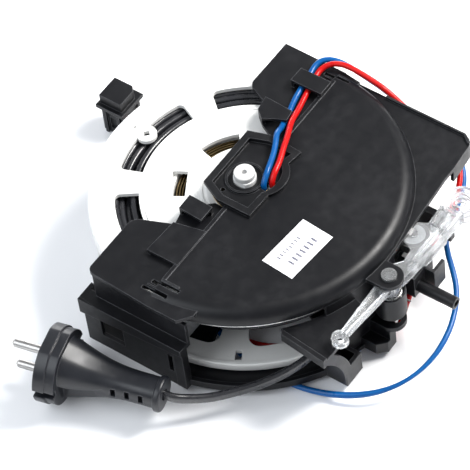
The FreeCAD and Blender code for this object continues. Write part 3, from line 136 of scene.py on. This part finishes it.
# ---------------------------------------------------------------- node graphs
class Graph:
    """An emptied node tree, with shorthands that add nodes and return their output socket."""

    def __init__(self, tree):
        self.tree = tree
        tree.nodes.clear()

    def feed(self, node, values):
        """Link each value that is a socket; store any other as the input's own value."""
        for key, value in values.items():
            if isinstance(value, bpy.types.NodeSocket):
                self.tree.links.new(value, node.inputs[key])
            else:
                node.inputs[key].default_value = value

    def add(self, kind, values={}, **settings):
        node = self.tree.nodes.new(kind)
        for name, setting in settings.items():
            setattr(node, name, setting)
        self.feed(node, values)
        return node

    def separate(self, vector):
        return self.add("ShaderNodeSeparateXYZ", {0: vector}).outputs

    def remap(self, value, span, to):
        return self.add("ShaderNodeMapRange", {
            "From Min": span[0], "From Max": span[1],
            "To Min": to[0], "To Max": to[1], "Value": value}).outputs["Result"]


MIDDLE = (0.3, 0.7)   # the part of a noise field's range that gets spread out


class Look(Graph):
    """A new material: one Principled shader and the nodes that feed it."""

    def __init__(self, name):
        self.material = bpy.data.materials.new(name)
        self.material.use_nodes = True
        super().__init__(self.material.node_tree)
        output = self.add("ShaderNodeOutputMaterial")
        self.shader = self.add("ShaderNodeBsdfPrincipled")
        self.feed(output, {"Surface": self.shader.outputs["BSDF"]})

    def shade(self, values):
        self.feed(self.shader, values)

    def coords(self):
        return self.add("ShaderNodeTexCoord").outputs["Object"]

    def noise(self, vector, scale, detail=4.0, roughness=0.6, distortion=0.0):
        return self.add("ShaderNodeTexNoise", {
            "Scale": scale, "Detail": detail, "Roughness": roughness,
            "Distortion": distortion, "Vector": vector}).outputs["Fac"]

    def mix(self, factor, a, b):
        return self.add("ShaderNodeMix", {"Factor": factor, "A": a, "B": b},
                        data_type="RGBA", blend_type="MIX").outputs["Result"]

    def mottle(self, field, shades, span=MIDDLE):
        """Blend between two shades along a noise field."""
        return self.mix(self.remap(field, span, to=(0.0, 1.0)), *shades)

    def calc(self, operation, a, b=0.0):
        return self.add("ShaderNodeMath", {0: a, 1: b}, operation=operation).outputs[0]

    def times(self, a, by):
        return self.calc("MULTIPLY", a, by)

    def plus(self, a, b):
        return self.calc("ADD", a, b)

    def bump(self, height, strength, distance, normal=None):
        values = {"Strength": strength, "Distance": distance, "Height": height}
        if normal is not None:
            values["Normal"] = normal
        return self.add("ShaderNodeBump", values).outputs["Normal"]

    def bevel(self, radius, samples=6):
        return self.add("ShaderNodeBevel", {"Radius": radius}, samples=samples).outputs["Normal"]

    def edge_mask(self, radius):
        """1 along edges, 0 on faces."""
        rounded = self.bevel(radius, samples=4)
        flat = self.add("ShaderNodeNewGeometry").outputs["Normal"]
        match = self.add("ShaderNodeVectorMath", {0: rounded, 1: flat}, operation="DOT_PRODUCT")
        return self.remap(match.outputs["Value"], span=(0.97, 0.80), to=(0.0, 1.0))


# ---------------------------------------------------------------- kinds of material
def moulded(name, shades, roughness, grain=0.15, edge=0.0003, dust_wear_and_sheen=(0.2, 0.2, 0.22, 1),
            edge_wear_and_sheen=0.35, specular=0.5):
    """Injection moulded plastic: fine grain, faint flow marks, dust, rounded edges tinted towards the wear tone: worn
    edges, and on dark plastic a painted edge highlight.
    """
    look = Look(name)
    place = look.coords()
    flow = look.noise(place, scale=18.0, detail=5.0, distortion=0.6)
    patches = look.noise(place, scale=160.0, detail=5.0)
    fine = look.noise(place, scale=2600.0, detail=3.0)

    base = look.mottle(flow, shades, span=(0.35, 0.7))
    dust = look.remap(look.times(patches, by=flow), span=(0.24, 0.46), to=(0.0, 0.022))
    base = look.mix(dust, base, dust_wear_and_sheen)
    # Edges are mixed towards the wear tone: real wear, and on dark plastic a painted edge highlight.
    edges = look.edge_mask(edge * 1.6)
    patchy = look.remap(patches, span=(0.35, 0.65), to=(0.4 * edge_wear_and_sheen, edge_wear_and_sheen))
    base = look.mix(look.times(edges, by=patchy), base, dust_wear_and_sheen)

    patch_gloss = look.remap(patches, MIDDLE, to=(roughness - 0.05, roughness + 0.06))
    flow_gloss = look.remap(flow, MIDDLE, to=(-0.025, 0.025))
    height = look.plus(look.times(fine, by=0.6), look.times(patches, by=0.8))
    grained = look.bump(height, strength=grain, distance=0.00006, normal=look.bevel(edge))
    look.shade({
        "Base Color": base,
        "Roughness": look.plus(patch_gloss, flow_gloss),
        "Specular IOR Level": specular,
        "Coat Roughness": 0.25,
        "Normal": look.bump(flow, strength=0.03, distance=0.0004, normal=grained)})
    return look


def metal(name, shades, roughness, stretch=(1, 1, 1), streak_scale=900.0, relief=0.1,
          edge=0.00015):
    """Metal with fine streaks in gloss and relief."""
    look = Look(name)
    place = look.coords()
    stretched = look.add("ShaderNodeMapping", {"Scale": stretch, "Vector": place})
    streaks = look.noise(stretched.outputs["Vector"], scale=streak_scale)
    clouds = look.noise(place, scale=60.0)
    look.shade({
        "Base Color": look.mottle(clouds, shades),
        "Metallic": 1.0,
        "Roughness": look.remap(streaks, span=(0.25, 0.75),
                                to=(roughness - 0.07, roughness + 0.1)),
        "Normal": look.bump(streaks, strength=relief, distance=0.00004,
                            normal=look.bevel(edge))})
    return look


def pvc(name, shades, roughness, specular, coat, relief=0.12):
    """Extruded jacket: slightly mottled and uneven."""
    look = Look(name)
    place = look.coords()
    mottling = look.noise(place, scale=90.0, detail=5.0, distortion=0.5)
    fine = look.noise(place, scale=1500.0, detail=3.0)
    height = look.plus(look.times(fine, by=0.4), mottling)
    look.shade({
        "Base Color": look.mottle(mottling, shades),
        "Roughness": look.remap(mottling, MIDDLE, to=(roughness - 0.06, roughness + 0.08)),
        "Specular IOR Level": specular,
        "Coat Weight": coat,
        "Coat Roughness": 0.12,
        "Normal": look.bump(height, strength=relief, distance=0.0002)})
    return look


def clear_plastic(name):
    look = Look(name)
    place = look.coords()
    waves = look.noise(place, scale=70.0, distortion=0.8)
    fine = look.noise(place, scale=1200.0, detail=2.0, roughness=0.5)
    height = look.plus(look.times(fine, by=0.15), waves)
    look.shade({
        "Base Color": (0.955, 0.972, 0.985, 1),
        "Transmission Weight": 0.88,
        "IOR": 1.38,
        "Roughness": look.remap(waves, MIDDLE, to=(0.10, 0.24)),
        "Coat Weight": 0.2,
        "Normal": look.bump(height, strength=0.25, distance=0.0004,
                            normal=look.bevel(0.0003))})
    return look


# Rows of print on the label, in metres from its middle. Duty is the inked share of each pitch.
PRINT_ROWS = (
    dict(y_span=(-0.0052, -0.0012), x_span=(-0.0098, 0.0106), pitch=0.0031, duty=0.42),
    dict(y_span=(0.0028, 0.0052), x_span=(-0.0112, 0.0072), pitch=0.0023, duty=0.38),
)


def paper(name):
    """Label stock, slightly mottled, with two rows of short print strokes that spell nothing."""
    look = Look(name)
    place = look.coords()
    fibre = look.noise(place, scale=900.0, detail=6.0, roughness=0.7)
    clouds = look.noise(place, scale=40.0)
    base = look.mottle(clouds, ((0.86, 0.87, 0.9, 1), (0.93, 0.93, 0.94, 1)))
    flecks = look.remap(fibre, span=(0.55, 0.75), to=(0.0, 0.12))
    base = look.mix(flecks, base, (0.7, 0.7, 0.72, 1))

    on_label = look.add("ShaderNodeMapping", {
        "Location": (-0.0242, -0.0504, 0.0),
        "Rotation": (0, 0, math.radians(-5.0)),
        "Vector": place}, vector_type="TEXTURE")
    axes = look.separate(on_label.outputs["Vector"])
    x, y = axes["X"], axes["Y"]

    def band(position, span):
        return look.times(look.calc("GREATER_THAN", position, span[0]),
                          by=look.calc("LESS_THAN", position, span[1]))

    def strokes(y_span, x_span, pitch, duty):
        shift = 0.05   # sets where along x the strokes start
        phase = look.calc("FRACT", look.times(look.plus(x, shift), by=1.0 / pitch))
        inked = look.calc("LESS_THAN", phase, duty)
        return look.times(inked, by=look.times(band(y, y_span), by=band(x, x_span)))

    ink = look.plus(*[strokes(**row) for row in PRINT_ROWS])
    worn = look.remap(fibre, span=(0.35, 0.6), to=(0.72, 0.97))
    look.shade({
        "Base Color": look.mix(look.times(ink, by=worn), base, (0.03, 0.03, 0.07, 1)),
        "Roughness": 0.6,
        "Normal": look.bump(fibre, strength=0.15, distance=0.0001)})
    return look


def shade_centre_hole(look, radius):
    """Painted shade in the blind hole on the drum axis: the colour darkens within the given radius."""
    clean = look.shader.inputs["Base Color"].links[0].from_socket
    axes = look.separate(look.coords())
    x, y = axes["X"], axes["Y"]
    distance = look.calc("SQRT", look.plus(look.times(x, by=x), look.times(y, by=y)))
    # Painted shade: the colour turns dark grey towards the axis, where the hole is.
    painted_shade = look.remap(distance, span=(radius * 0.85, radius * 1.1), to=(0.80, 0.0))
    look.shade({"Base Color": look.mix(painted_shade, clean, (0.10, 0.10, 0.105, 1))})


# ---------------------------------------------------------------- materials
# The light wear tone and large edge amount paint highlights along the edges of the dark plastic, besides wear.
DARK_FINISH = dict(dust_wear_and_sheen=(0.17, 0.175, 0.19, 1), edge_wear_and_sheen=0.55, specular=0.26)
LEAD_FINISH = dict(roughness=0.30, specular=0.24, coat=0.08, relief=0.08)

BLACK = moulded("black_moulding_look", ((0.0030, 0.0032, 0.0044, 1), (0.0044, 0.0046, 0.0060, 1)),
                roughness=0.41, grain=0.30, edge=0.00045, **DARK_FINISH)
CONTACT_BOX = moulded("contact_box_look",
                      ((0.0030, 0.0032, 0.0042, 1), (0.0044, 0.0046, 0.0058, 1)),
                      roughness=0.43, grain=0.32, edge=0.0004, **DARK_FINISH)
WHITE = moulded("white_moulding_look", ((0.72, 0.72, 0.705, 1), (0.80, 0.80, 0.785, 1)),
                roughness=0.34, grain=0.10, edge=0.0004, dust_wear_and_sheen=(0.70, 0.69, 0.66, 1),
                edge_wear_and_sheen=0.12)
# The axle cap is the drum's white plastic, painted a darker grey as shade so its outline shows against the drum.
SHADED_CAP = moulded("cap_shaded_moulding_look", ((0.50, 0.50, 0.49, 1), (0.58, 0.58, 0.57, 1)),
              roughness=0.38, grain=0.12, dust_wear_and_sheen=(0.5, 0.49, 0.47, 1), edge_wear_and_sheen=0.10,
              specular=0.45)
# Paints shade into the cap's centre hole.
shade_centre_hole(SHADED_CAP, radius=0.0013)
ROLLER = moulded("roller_moulding_look", ((0.40, 0.41, 0.42, 1), (0.47, 0.48, 0.49, 1)),
                 roughness=0.34, grain=0.10, dust_wear_and_sheen=(0.4, 0.4, 0.4, 1), edge_wear_and_sheen=0.10,
                 specular=0.45)
CORD = pvc("cord_jacket_look", ((0.010, 0.0105, 0.013, 1), (0.017, 0.0175, 0.021, 1)),
           roughness=0.27, specular=0.55, coat=0.25)
PLUG = moulded("plug_moulding_look", ((0.0070, 0.0080, 0.0110, 1), (0.0100, 0.0110, 0.0145, 1)),
               roughness=0.34, grain=0.4, edge=0.0009, dust_wear_and_sheen=(0.16, 0.16, 0.18, 1),
               edge_wear_and_sheen=0.28, specular=0.42)
RED = pvc("red_lead_look", ((0.42, 0.0030, 0.0030, 1), (0.49, 0.0050, 0.0045, 1)), **LEAD_FINISH)
BLUE = pvc("blue_lead_look", ((0.0006, 0.066, 0.235, 1), (0.0010, 0.084, 0.285, 1)),
           **LEAD_FINISH)
BRASS = metal("brass_look", ((0.75, 0.52, 0.22, 1), (0.80, 0.60, 0.30, 1)), roughness=0.24)
SPRING = metal("spring_steel_look", ((0.16, 0.11, 0.05, 1), (0.30, 0.22, 0.11, 1)),
               roughness=0.40, stretch=(1, 1, 0.05), streak_scale=1200.0, relief=0.2)
STEEL = metal("steel_look", ((0.52, 0.52, 0.53, 1), (0.62, 0.62, 0.61, 1)), roughness=0.28)
NICKEL = metal("nickel_look", ((0.36, 0.355, 0.345, 1), (0.44, 0.43, 0.42, 1)),
               roughness=0.32, streak_scale=700.0, relief=0.12, edge=0.0003)
CARBON = moulded("carbon_look", ((0.03, 0.03, 0.03, 1), (0.05, 0.045, 0.04, 1)), roughness=0.55)
TYRE = pvc("tyre_look", ((0.02, 0.02, 0.02, 1), (0.035, 0.035, 0.035, 1)),
           roughness=0.6, specular=0.4, coat=0.0, relief=0.3)
CLEAR = clear_plastic("clear_moulding_look")
PAPER = paper("label_paper_look")

SLOT_LOOKS = {
    "black_moulding": BLACK, "white_moulding": WHITE, "clear_moulding": CLEAR,
    "cord_jacket": CORD, "plug_moulding": PLUG, "red_lead": RED, "blue_lead": BLUE,
    "contact_brass": BRASS, "spring_steel": SPRING, "steel": STEEL, "nickel": NICKEL,
    "brush_carbon": CARBON, "tyre_rubber": TYRE, "label_paper": PAPER,
}
# Pieces that differ from the usual look of their slot.
PIECE_LOOKS = {"contact_box": CONTACT_BOX, "axle_cap": SHADED_CAP, "brake_roller": ROLLER}


# ---------------------------------------------------------------- dressing the CAD pieces
SMOOTH_ANGLE = 28   # degrees; sharper edges stay crisp


def smooth_group():
    """Geometry nodes that weld the mesh and smooth the edges below SMOOTH_ANGLE."""
    tree = bpy.data.node_groups.new("soft_shade_%d" % SMOOTH_ANGLE, "GeometryNodeTree")
    for direction in ("INPUT", "OUTPUT"):
        tree.interface.new_socket("Geometry", in_out=direction,
                                  socket_type="NodeSocketGeometry")
    graph = Graph(tree)
    source = graph.add("NodeGroupInput")
    result = graph.add("NodeGroupOutput")
    welded = graph.add("GeometryNodeMergeByDistance",
                       {"Geometry": source.outputs[0], "Distance": 1e-7})
    faces = graph.add("GeometryNodeSetShadeSmooth",
                      {"Geometry": welded.outputs["Geometry"], "Shade Smooth": True},
                      domain="FACE")
    angle = graph.add("GeometryNodeInputMeshEdgeAngle").outputs["Unsigned Angle"]
    soft = graph.add("FunctionNodeCompare", {0: angle, 1: math.radians(SMOOTH_ANGLE)},
                     data_type="FLOAT", operation="LESS_THAN")
    edges = graph.add("GeometryNodeSetShadeSmooth",
                      {"Geometry": faces.outputs["Geometry"], "Shade Smooth": soft.outputs[0]},
                      domain="EDGE")
    graph.feed(result, {0: edges.outputs["Geometry"]})
    return tree


def set_look(piece, look):
    for slot in piece.material_slots:
        slot.material = look.material


def clear_custom_normals(piece):
    bpy.context.view_layer.objects.active = piece
    with bpy.context.temp_override(active_object=piece, object=piece, selected_objects=[piece]):
        # The operator may refuse this context; the attribute is then removed below.
        try:
            bpy.ops.mesh.customdata_custom_splitnormals_clear()
        except Exception:
            pass
    normals = piece.data.attributes.get("custom_normal")
    if normals:
        piece.data.attributes.remove(normals)


def dress(piece, look, smoothing):
    if piece.data.has_custom_normals:
        clear_custom_normals(piece)
    if not piece.material_slots:
        piece.data.materials.append(look.material)
    set_look(piece, look)
    piece.modifiers.new("soft_shade", "NODES").node_group = smoothing


slot_of = {part["node"]: part["material_slot"] for part in frame["record"]["subparts"]}
soft_shade = smooth_group()
for name, piece in nodes.items():
    dress(piece, SLOT_LOOKS[slot_of[name]], soft_shade)
for name, look in PIECE_LOOKS.items():
    set_look(nodes[name], look)


# ---------------------------------------------------------------- cord, in millimetres
CORD_WIDTH, CORD_THICKNESS = 5.8, 3.9
CORE_RADIUS = 46.35                      # drum core under the winding
FLANGE_LOW, FLANGE_HIGH = 12.4, 53.1     # z of the drum flanges' facing sides
WIND_LOW = FLANGE_LOW + CORD_WIDTH / 2 + 0.05
WIND_HIGH = FLANGE_HIGH - CORD_WIDTH / 2 - 0.05
LAYER_PITCH = CORD_THICKNESS - 0.12
STEPS_PER_TURN = 72
EXTRA_TURNS = 0.9                        # level turning, half of it at each end of a layer
CLIMB_TURNS = 0.4                        # turns taken to climb onto the layer below
# Heights where the winding turns back; each neighbouring pair bounds one layer.
TURN_BACKS = (
    WIND_HIGH, WIND_LOW, WIND_HIGH, WIND_LOW,
    WIND_HIGH, WIND_LOW + CORD_WIDTH, WIND_HIGH, WIND_HIGH - 2.0 * CORD_WIDTH)

# Centre line of the lead, x y z, from the winding outwards.
LEAD_POINTS = (
    (2.0, -71.4, 30.0), (-14.0, -72.2, 28.6), (-32.0, -73.4, 26.0), (-46.0, -74.6, 23.2),
    (-55.6, -74.2, 20.8), (-67.5, -68.2, 17.6), (-79.5, -60.0, 15.6), (-90.0, -50.9, 14.5),
    (-99.2, -42.4, 14.6), (-106.6, -34.4, 16.4), (-111.2, -28.6, 18.4), (-112.9, -23.3, 19.5),
    (-114.2, -18.6, 19.8))


def catmull_rom(points, steps):
    """Smooth centre line through the points, with so many steps between neighbours."""
    points = [Vector(point) for point in points]
    points = [points[0] * 2 - points[1]] + points + [points[-1] * 2 - points[-2]]
    line = []
    for before, start, end, after in zip(points, points[1:], points[2:], points[3:]):
        for k in range(steps):
            t = k / steps
            line.append(0.5 * ((2 * start) + (end - before) * t
                               + (2 * before - 5 * start + 4 * end - after) * t * t
                               + (3 * start - before - 3 * end + after) * t ** 3))
    line.append(points[-2].copy())
    return line


def cord_section(width, thickness, count):
    """Flat two-core jacket: a rounded oblong with a shallow waist."""
    width_power, thickness_power = 0.72, 0.80     # below 1 squares up the ellipse
    waist_depth, waist_spread = 0.085, 0.16
    outline = []
    for i in range(count):
        angle = 2 * math.pi * i / count
        c, s = math.cos(angle), math.sin(angle)
        x = 0.5 * width * math.copysign(abs(c) ** width_power, c)
        y = 0.5 * thickness * math.copysign(abs(s) ** thickness_power, s)
        waist = 1.0 - waist_depth * math.exp(-(x / (waist_spread * width)) ** 2)
        outline.append((x, y * waist))
    return outline


def sweep(name, path, section, ups, look):
    """Capped tube. Section x runs along the up vector at each path point, y sideways."""
    verts, faces = [], []
    count, last = len(section), len(path) - 1
    for i, point in enumerate(path):
        along = (path[min(i + 1, last)] - path[max(i - 1, 0)]).normalized()
        up = ups[i] - along * ups[i].dot(along)
        up.normalize()
        side = along.cross(up)
        for x, y in section:
            corner = point + up * x + side * y
            verts.append((corner.x * MM, corner.y * MM, corner.z * MM))
    for i in range(last):
        for k in range(count):
            a, b = i * count + k, i * count + (k + 1) % count
            faces.append((a, b, b + count, a + count))
    faces.append(tuple(range(count - 1, -1, -1)))
    faces.append(tuple(last * count + k for k in range(count)))

    mesh = bpy.data.meshes.new(name)
    mesh.from_pydata(verts, [], faces)
    mesh.validate()
    bm = bmesh.new()
    bm.from_mesh(mesh)
    bmesh.ops.recalc_face_normals(bm, faces=bm.faces)
    bm.to_mesh(mesh)
    bm.free()
    for face in mesh.polygons:
        face.use_smooth = len(face.vertices) == 4
    swept = bpy.data.objects.new(name, mesh)
    scene.collection.objects.link(swept)
    mesh.materials.append(look.material)
    return swept


def winding_line():
    """Centre line and up vectors of the layers, clockwise seen from +Z, a little uneven."""
    path, ups = [], []
    degrees = 0.0
    for layer, (z_start, z_end) in enumerate(zip(TURN_BACKS, TURN_BACKS[1:])):
        layer_radius = CORE_RADIUS + CORD_THICKNESS * 0.5 + 0.1 + layer * LAYER_PITCH
        turns = abs(z_end - z_start) / CORD_WIDTH + EXTRA_TURNS
        steps = int(turns * STEPS_PER_TURN)
        looseness = 1.0 if layer < 5 else 0.35
        for k in range(steps):
            turned = k / steps * turns
            travel = (turned - EXTRA_TURNS / 2) / (turns - EXTRA_TURNS)
            z = z_start + (z_end - z_start) * min(1.0, max(0.0, travel))
            a = math.radians(degrees)
            radius = layer_radius
            if layer:
                radius -= LAYER_PITCH * (1 - min(1.0, turned / CLIMB_TURNS))
            # Slow sines stand in for cord laid by hand: in radius, height and tilt.
            radius += looseness * (0.16 * math.sin(a * 0.37 + layer)
                                   + 0.10 * math.sin(a * 1.3 + 2.1 * layer))
            z += 0.18 * math.sin(a * 0.53 + 1.7 * layer)
            tilt = 0.07 * math.sin(0.9 * a)
            path.append(Vector((radius * math.cos(a), radius * math.sin(a),
                                min(WIND_HIGH, max(WIND_LOW, z)))))
            ups.append(Vector((tilt * math.cos(a), tilt * math.sin(a), 1.0)))
            degrees -= 360 / STEPS_PER_TURN
    return path, ups


wind_path, wind_ups = winding_line()
wind_section = cord_section(CORD_WIDTH - 0.1, CORD_THICKNESS - 0.06, count=16)
winding = sweep("cord_winding_turns", wind_path, wind_section, wind_ups, CORD)
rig.ride(winding, "drum")
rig.replaces(winding, "cord_winding")
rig.slot(winding, "cord_jacket")

lead_path = catmull_rom(LEAD_POINTS, steps=14)
lead_section = cord_section(CORD_WIDTH, CORD_THICKNESS, count=28)
lead = sweep("cord_lead_flat", lead_path, lead_section, [Z_AXIS] * len(lead_path), CORD)
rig.ride(lead, "frame")
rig.replaces(lead, "cord_lead")
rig.slot(lead, "cord_jacket")


# ---------------------------------------------------------------- stage
def make_floor():
    mesh = bpy.data.meshes.new("floor")
    bm = bmesh.new()
    bmesh.ops.create_grid(bm, x_segments=8, y_segments=8, size=6.0)
    bm.to_mesh(mesh)
    bm.free()
    floor = bpy.data.objects.new("floor", mesh)
    scene.collection.objects.link(floor)
    floor.location = (0, 0, CAD_LO.z - 0.0002)   # just clear of the lowest piece
    look = Look("floor_look")
    look.shade({"Base Color": (0.93, 0.935, 0.95, 1), "Roughness": 0.7})
    mesh.materials.append(look.material)
    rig.stage(floor)


def make_world():
    """Soft sky, brighter towards the top."""
    world = bpy.data.worlds.new("studio")
    scene.world = world
    world.use_nodes = True
    graph = Graph(world.node_tree)
    output = graph.add("ShaderNodeOutputWorld")
    background = graph.add("ShaderNodeBackground", {"Strength": 0.50})
    direction = graph.add("ShaderNodeTexCoord").outputs["Generated"]
    height = graph.remap(graph.separate(direction)["Z"], span=(-1.0, 1.0), to=(0.0, 1.0))
    ramp = graph.add("ShaderNodeValToRGB", {"Fac": height})
    low, high = ramp.color_ramp.elements
    low.position, low.color = 0.45, (0.72, 0.76, 0.84, 1)
    high.position, high.color = 1.0, (0.95, 0.97, 1.0, 1)
    graph.feed(background, {"Color": ramp.outputs["Color"]})
    graph.feed(output, {"Surface": background.outputs["Background"]})


make_floor()
make_world()

# Camera: where it looks, from how far and from which side.
AZIMUTH, ELEVATION, ROLL = math.radians(-48.43), math.radians(51.95), math.radians(-8.14)
TARGET = Vector((-29.19, -13.22, 56.0)) * MM
CAMERA_DISTANCE = 1575.8 * MM
FOCAL_LENGTH = 229.787234   # mm, on a sensor 36 mm wide

# Axes of the camera: BACK points from the target to the camera.
BACK = Vector((math.sin(AZIMUTH) * math.cos(ELEVATION),
               -math.cos(AZIMUTH) * math.cos(ELEVATION), math.sin(ELEVATION)))
level_right = Vector((math.cos(AZIMUTH), math.sin(AZIMUTH), 0))
level_up = BACK.cross(level_right)
RIGHT = level_right * math.cos(ROLL) + level_up * math.sin(ROLL)
UP = -level_right * math.sin(ROLL) + level_up * math.cos(ROLL)


def make_camera():
    lens = bpy.data.cameras.new("camera")
    camera = bpy.data.objects.new("camera", lens)
    scene.collection.objects.link(camera)
    lens.sensor_width = 36.0
    lens.lens = FOCAL_LENGTH
    lens.clip_start = 0.05
    lens.clip_end = 50.0
    place = TARGET + BACK * CAMERA_DISTANCE
    rows = [(*row, 0) for row in (RIGHT, UP, BACK)]
    camera.matrix_world = Matrix((*rows, (*place, 1))).transposed()
    scene.camera = camera


def area_light(name, toward, size, power, color):
    """Square light in the given direction, aimed at a point just above the origin."""
    distance, aim = 1.2, Vector((0, 0, 0.03))
    light = bpy.data.lights.new(name, "AREA")
    light.energy = power
    light.color = color
    light.shape = "RECTANGLE"
    light.size = size
    light.size_y = size
    lamp = bpy.data.objects.new(name, light)
    scene.collection.objects.link(lamp)
    direction = toward.normalized()
    lamp.location = aim + direction * distance
    lamp.rotation_mode = "QUATERNION"
    lamp.rotation_quaternion = direction.to_track_quat("Z", "Y")


make_camera()
area_light("key", RIGHT * 0.85 + Z_AXIS * 0.95 + UP * 0.35,
           size=0.46, power=27.5, color=(1.0, 0.985, 0.96))
area_light("fill", -RIGHT * 0.75 + Z_AXIS * 0.22 + BACK * 0.60,
           size=0.9, power=9.5, color=(0.90, 0.95, 1.0))
area_light("rim", -BACK * 0.8 + Z_AXIS * 0.7, size=0.6, power=6.0, color=(1, 1, 1))
scene.view_settings.view_transform = "Standard"
scene.view_settings.look = "None"
scene.view_settings.exposure = 0.0

V_LO, V_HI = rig.bounds()
with open("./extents.json", "w") as file:
    json.dump({"cad": [list(CAD_LO), list(CAD_HI)], "visual": [list(V_LO), list(V_HI)]}, file)
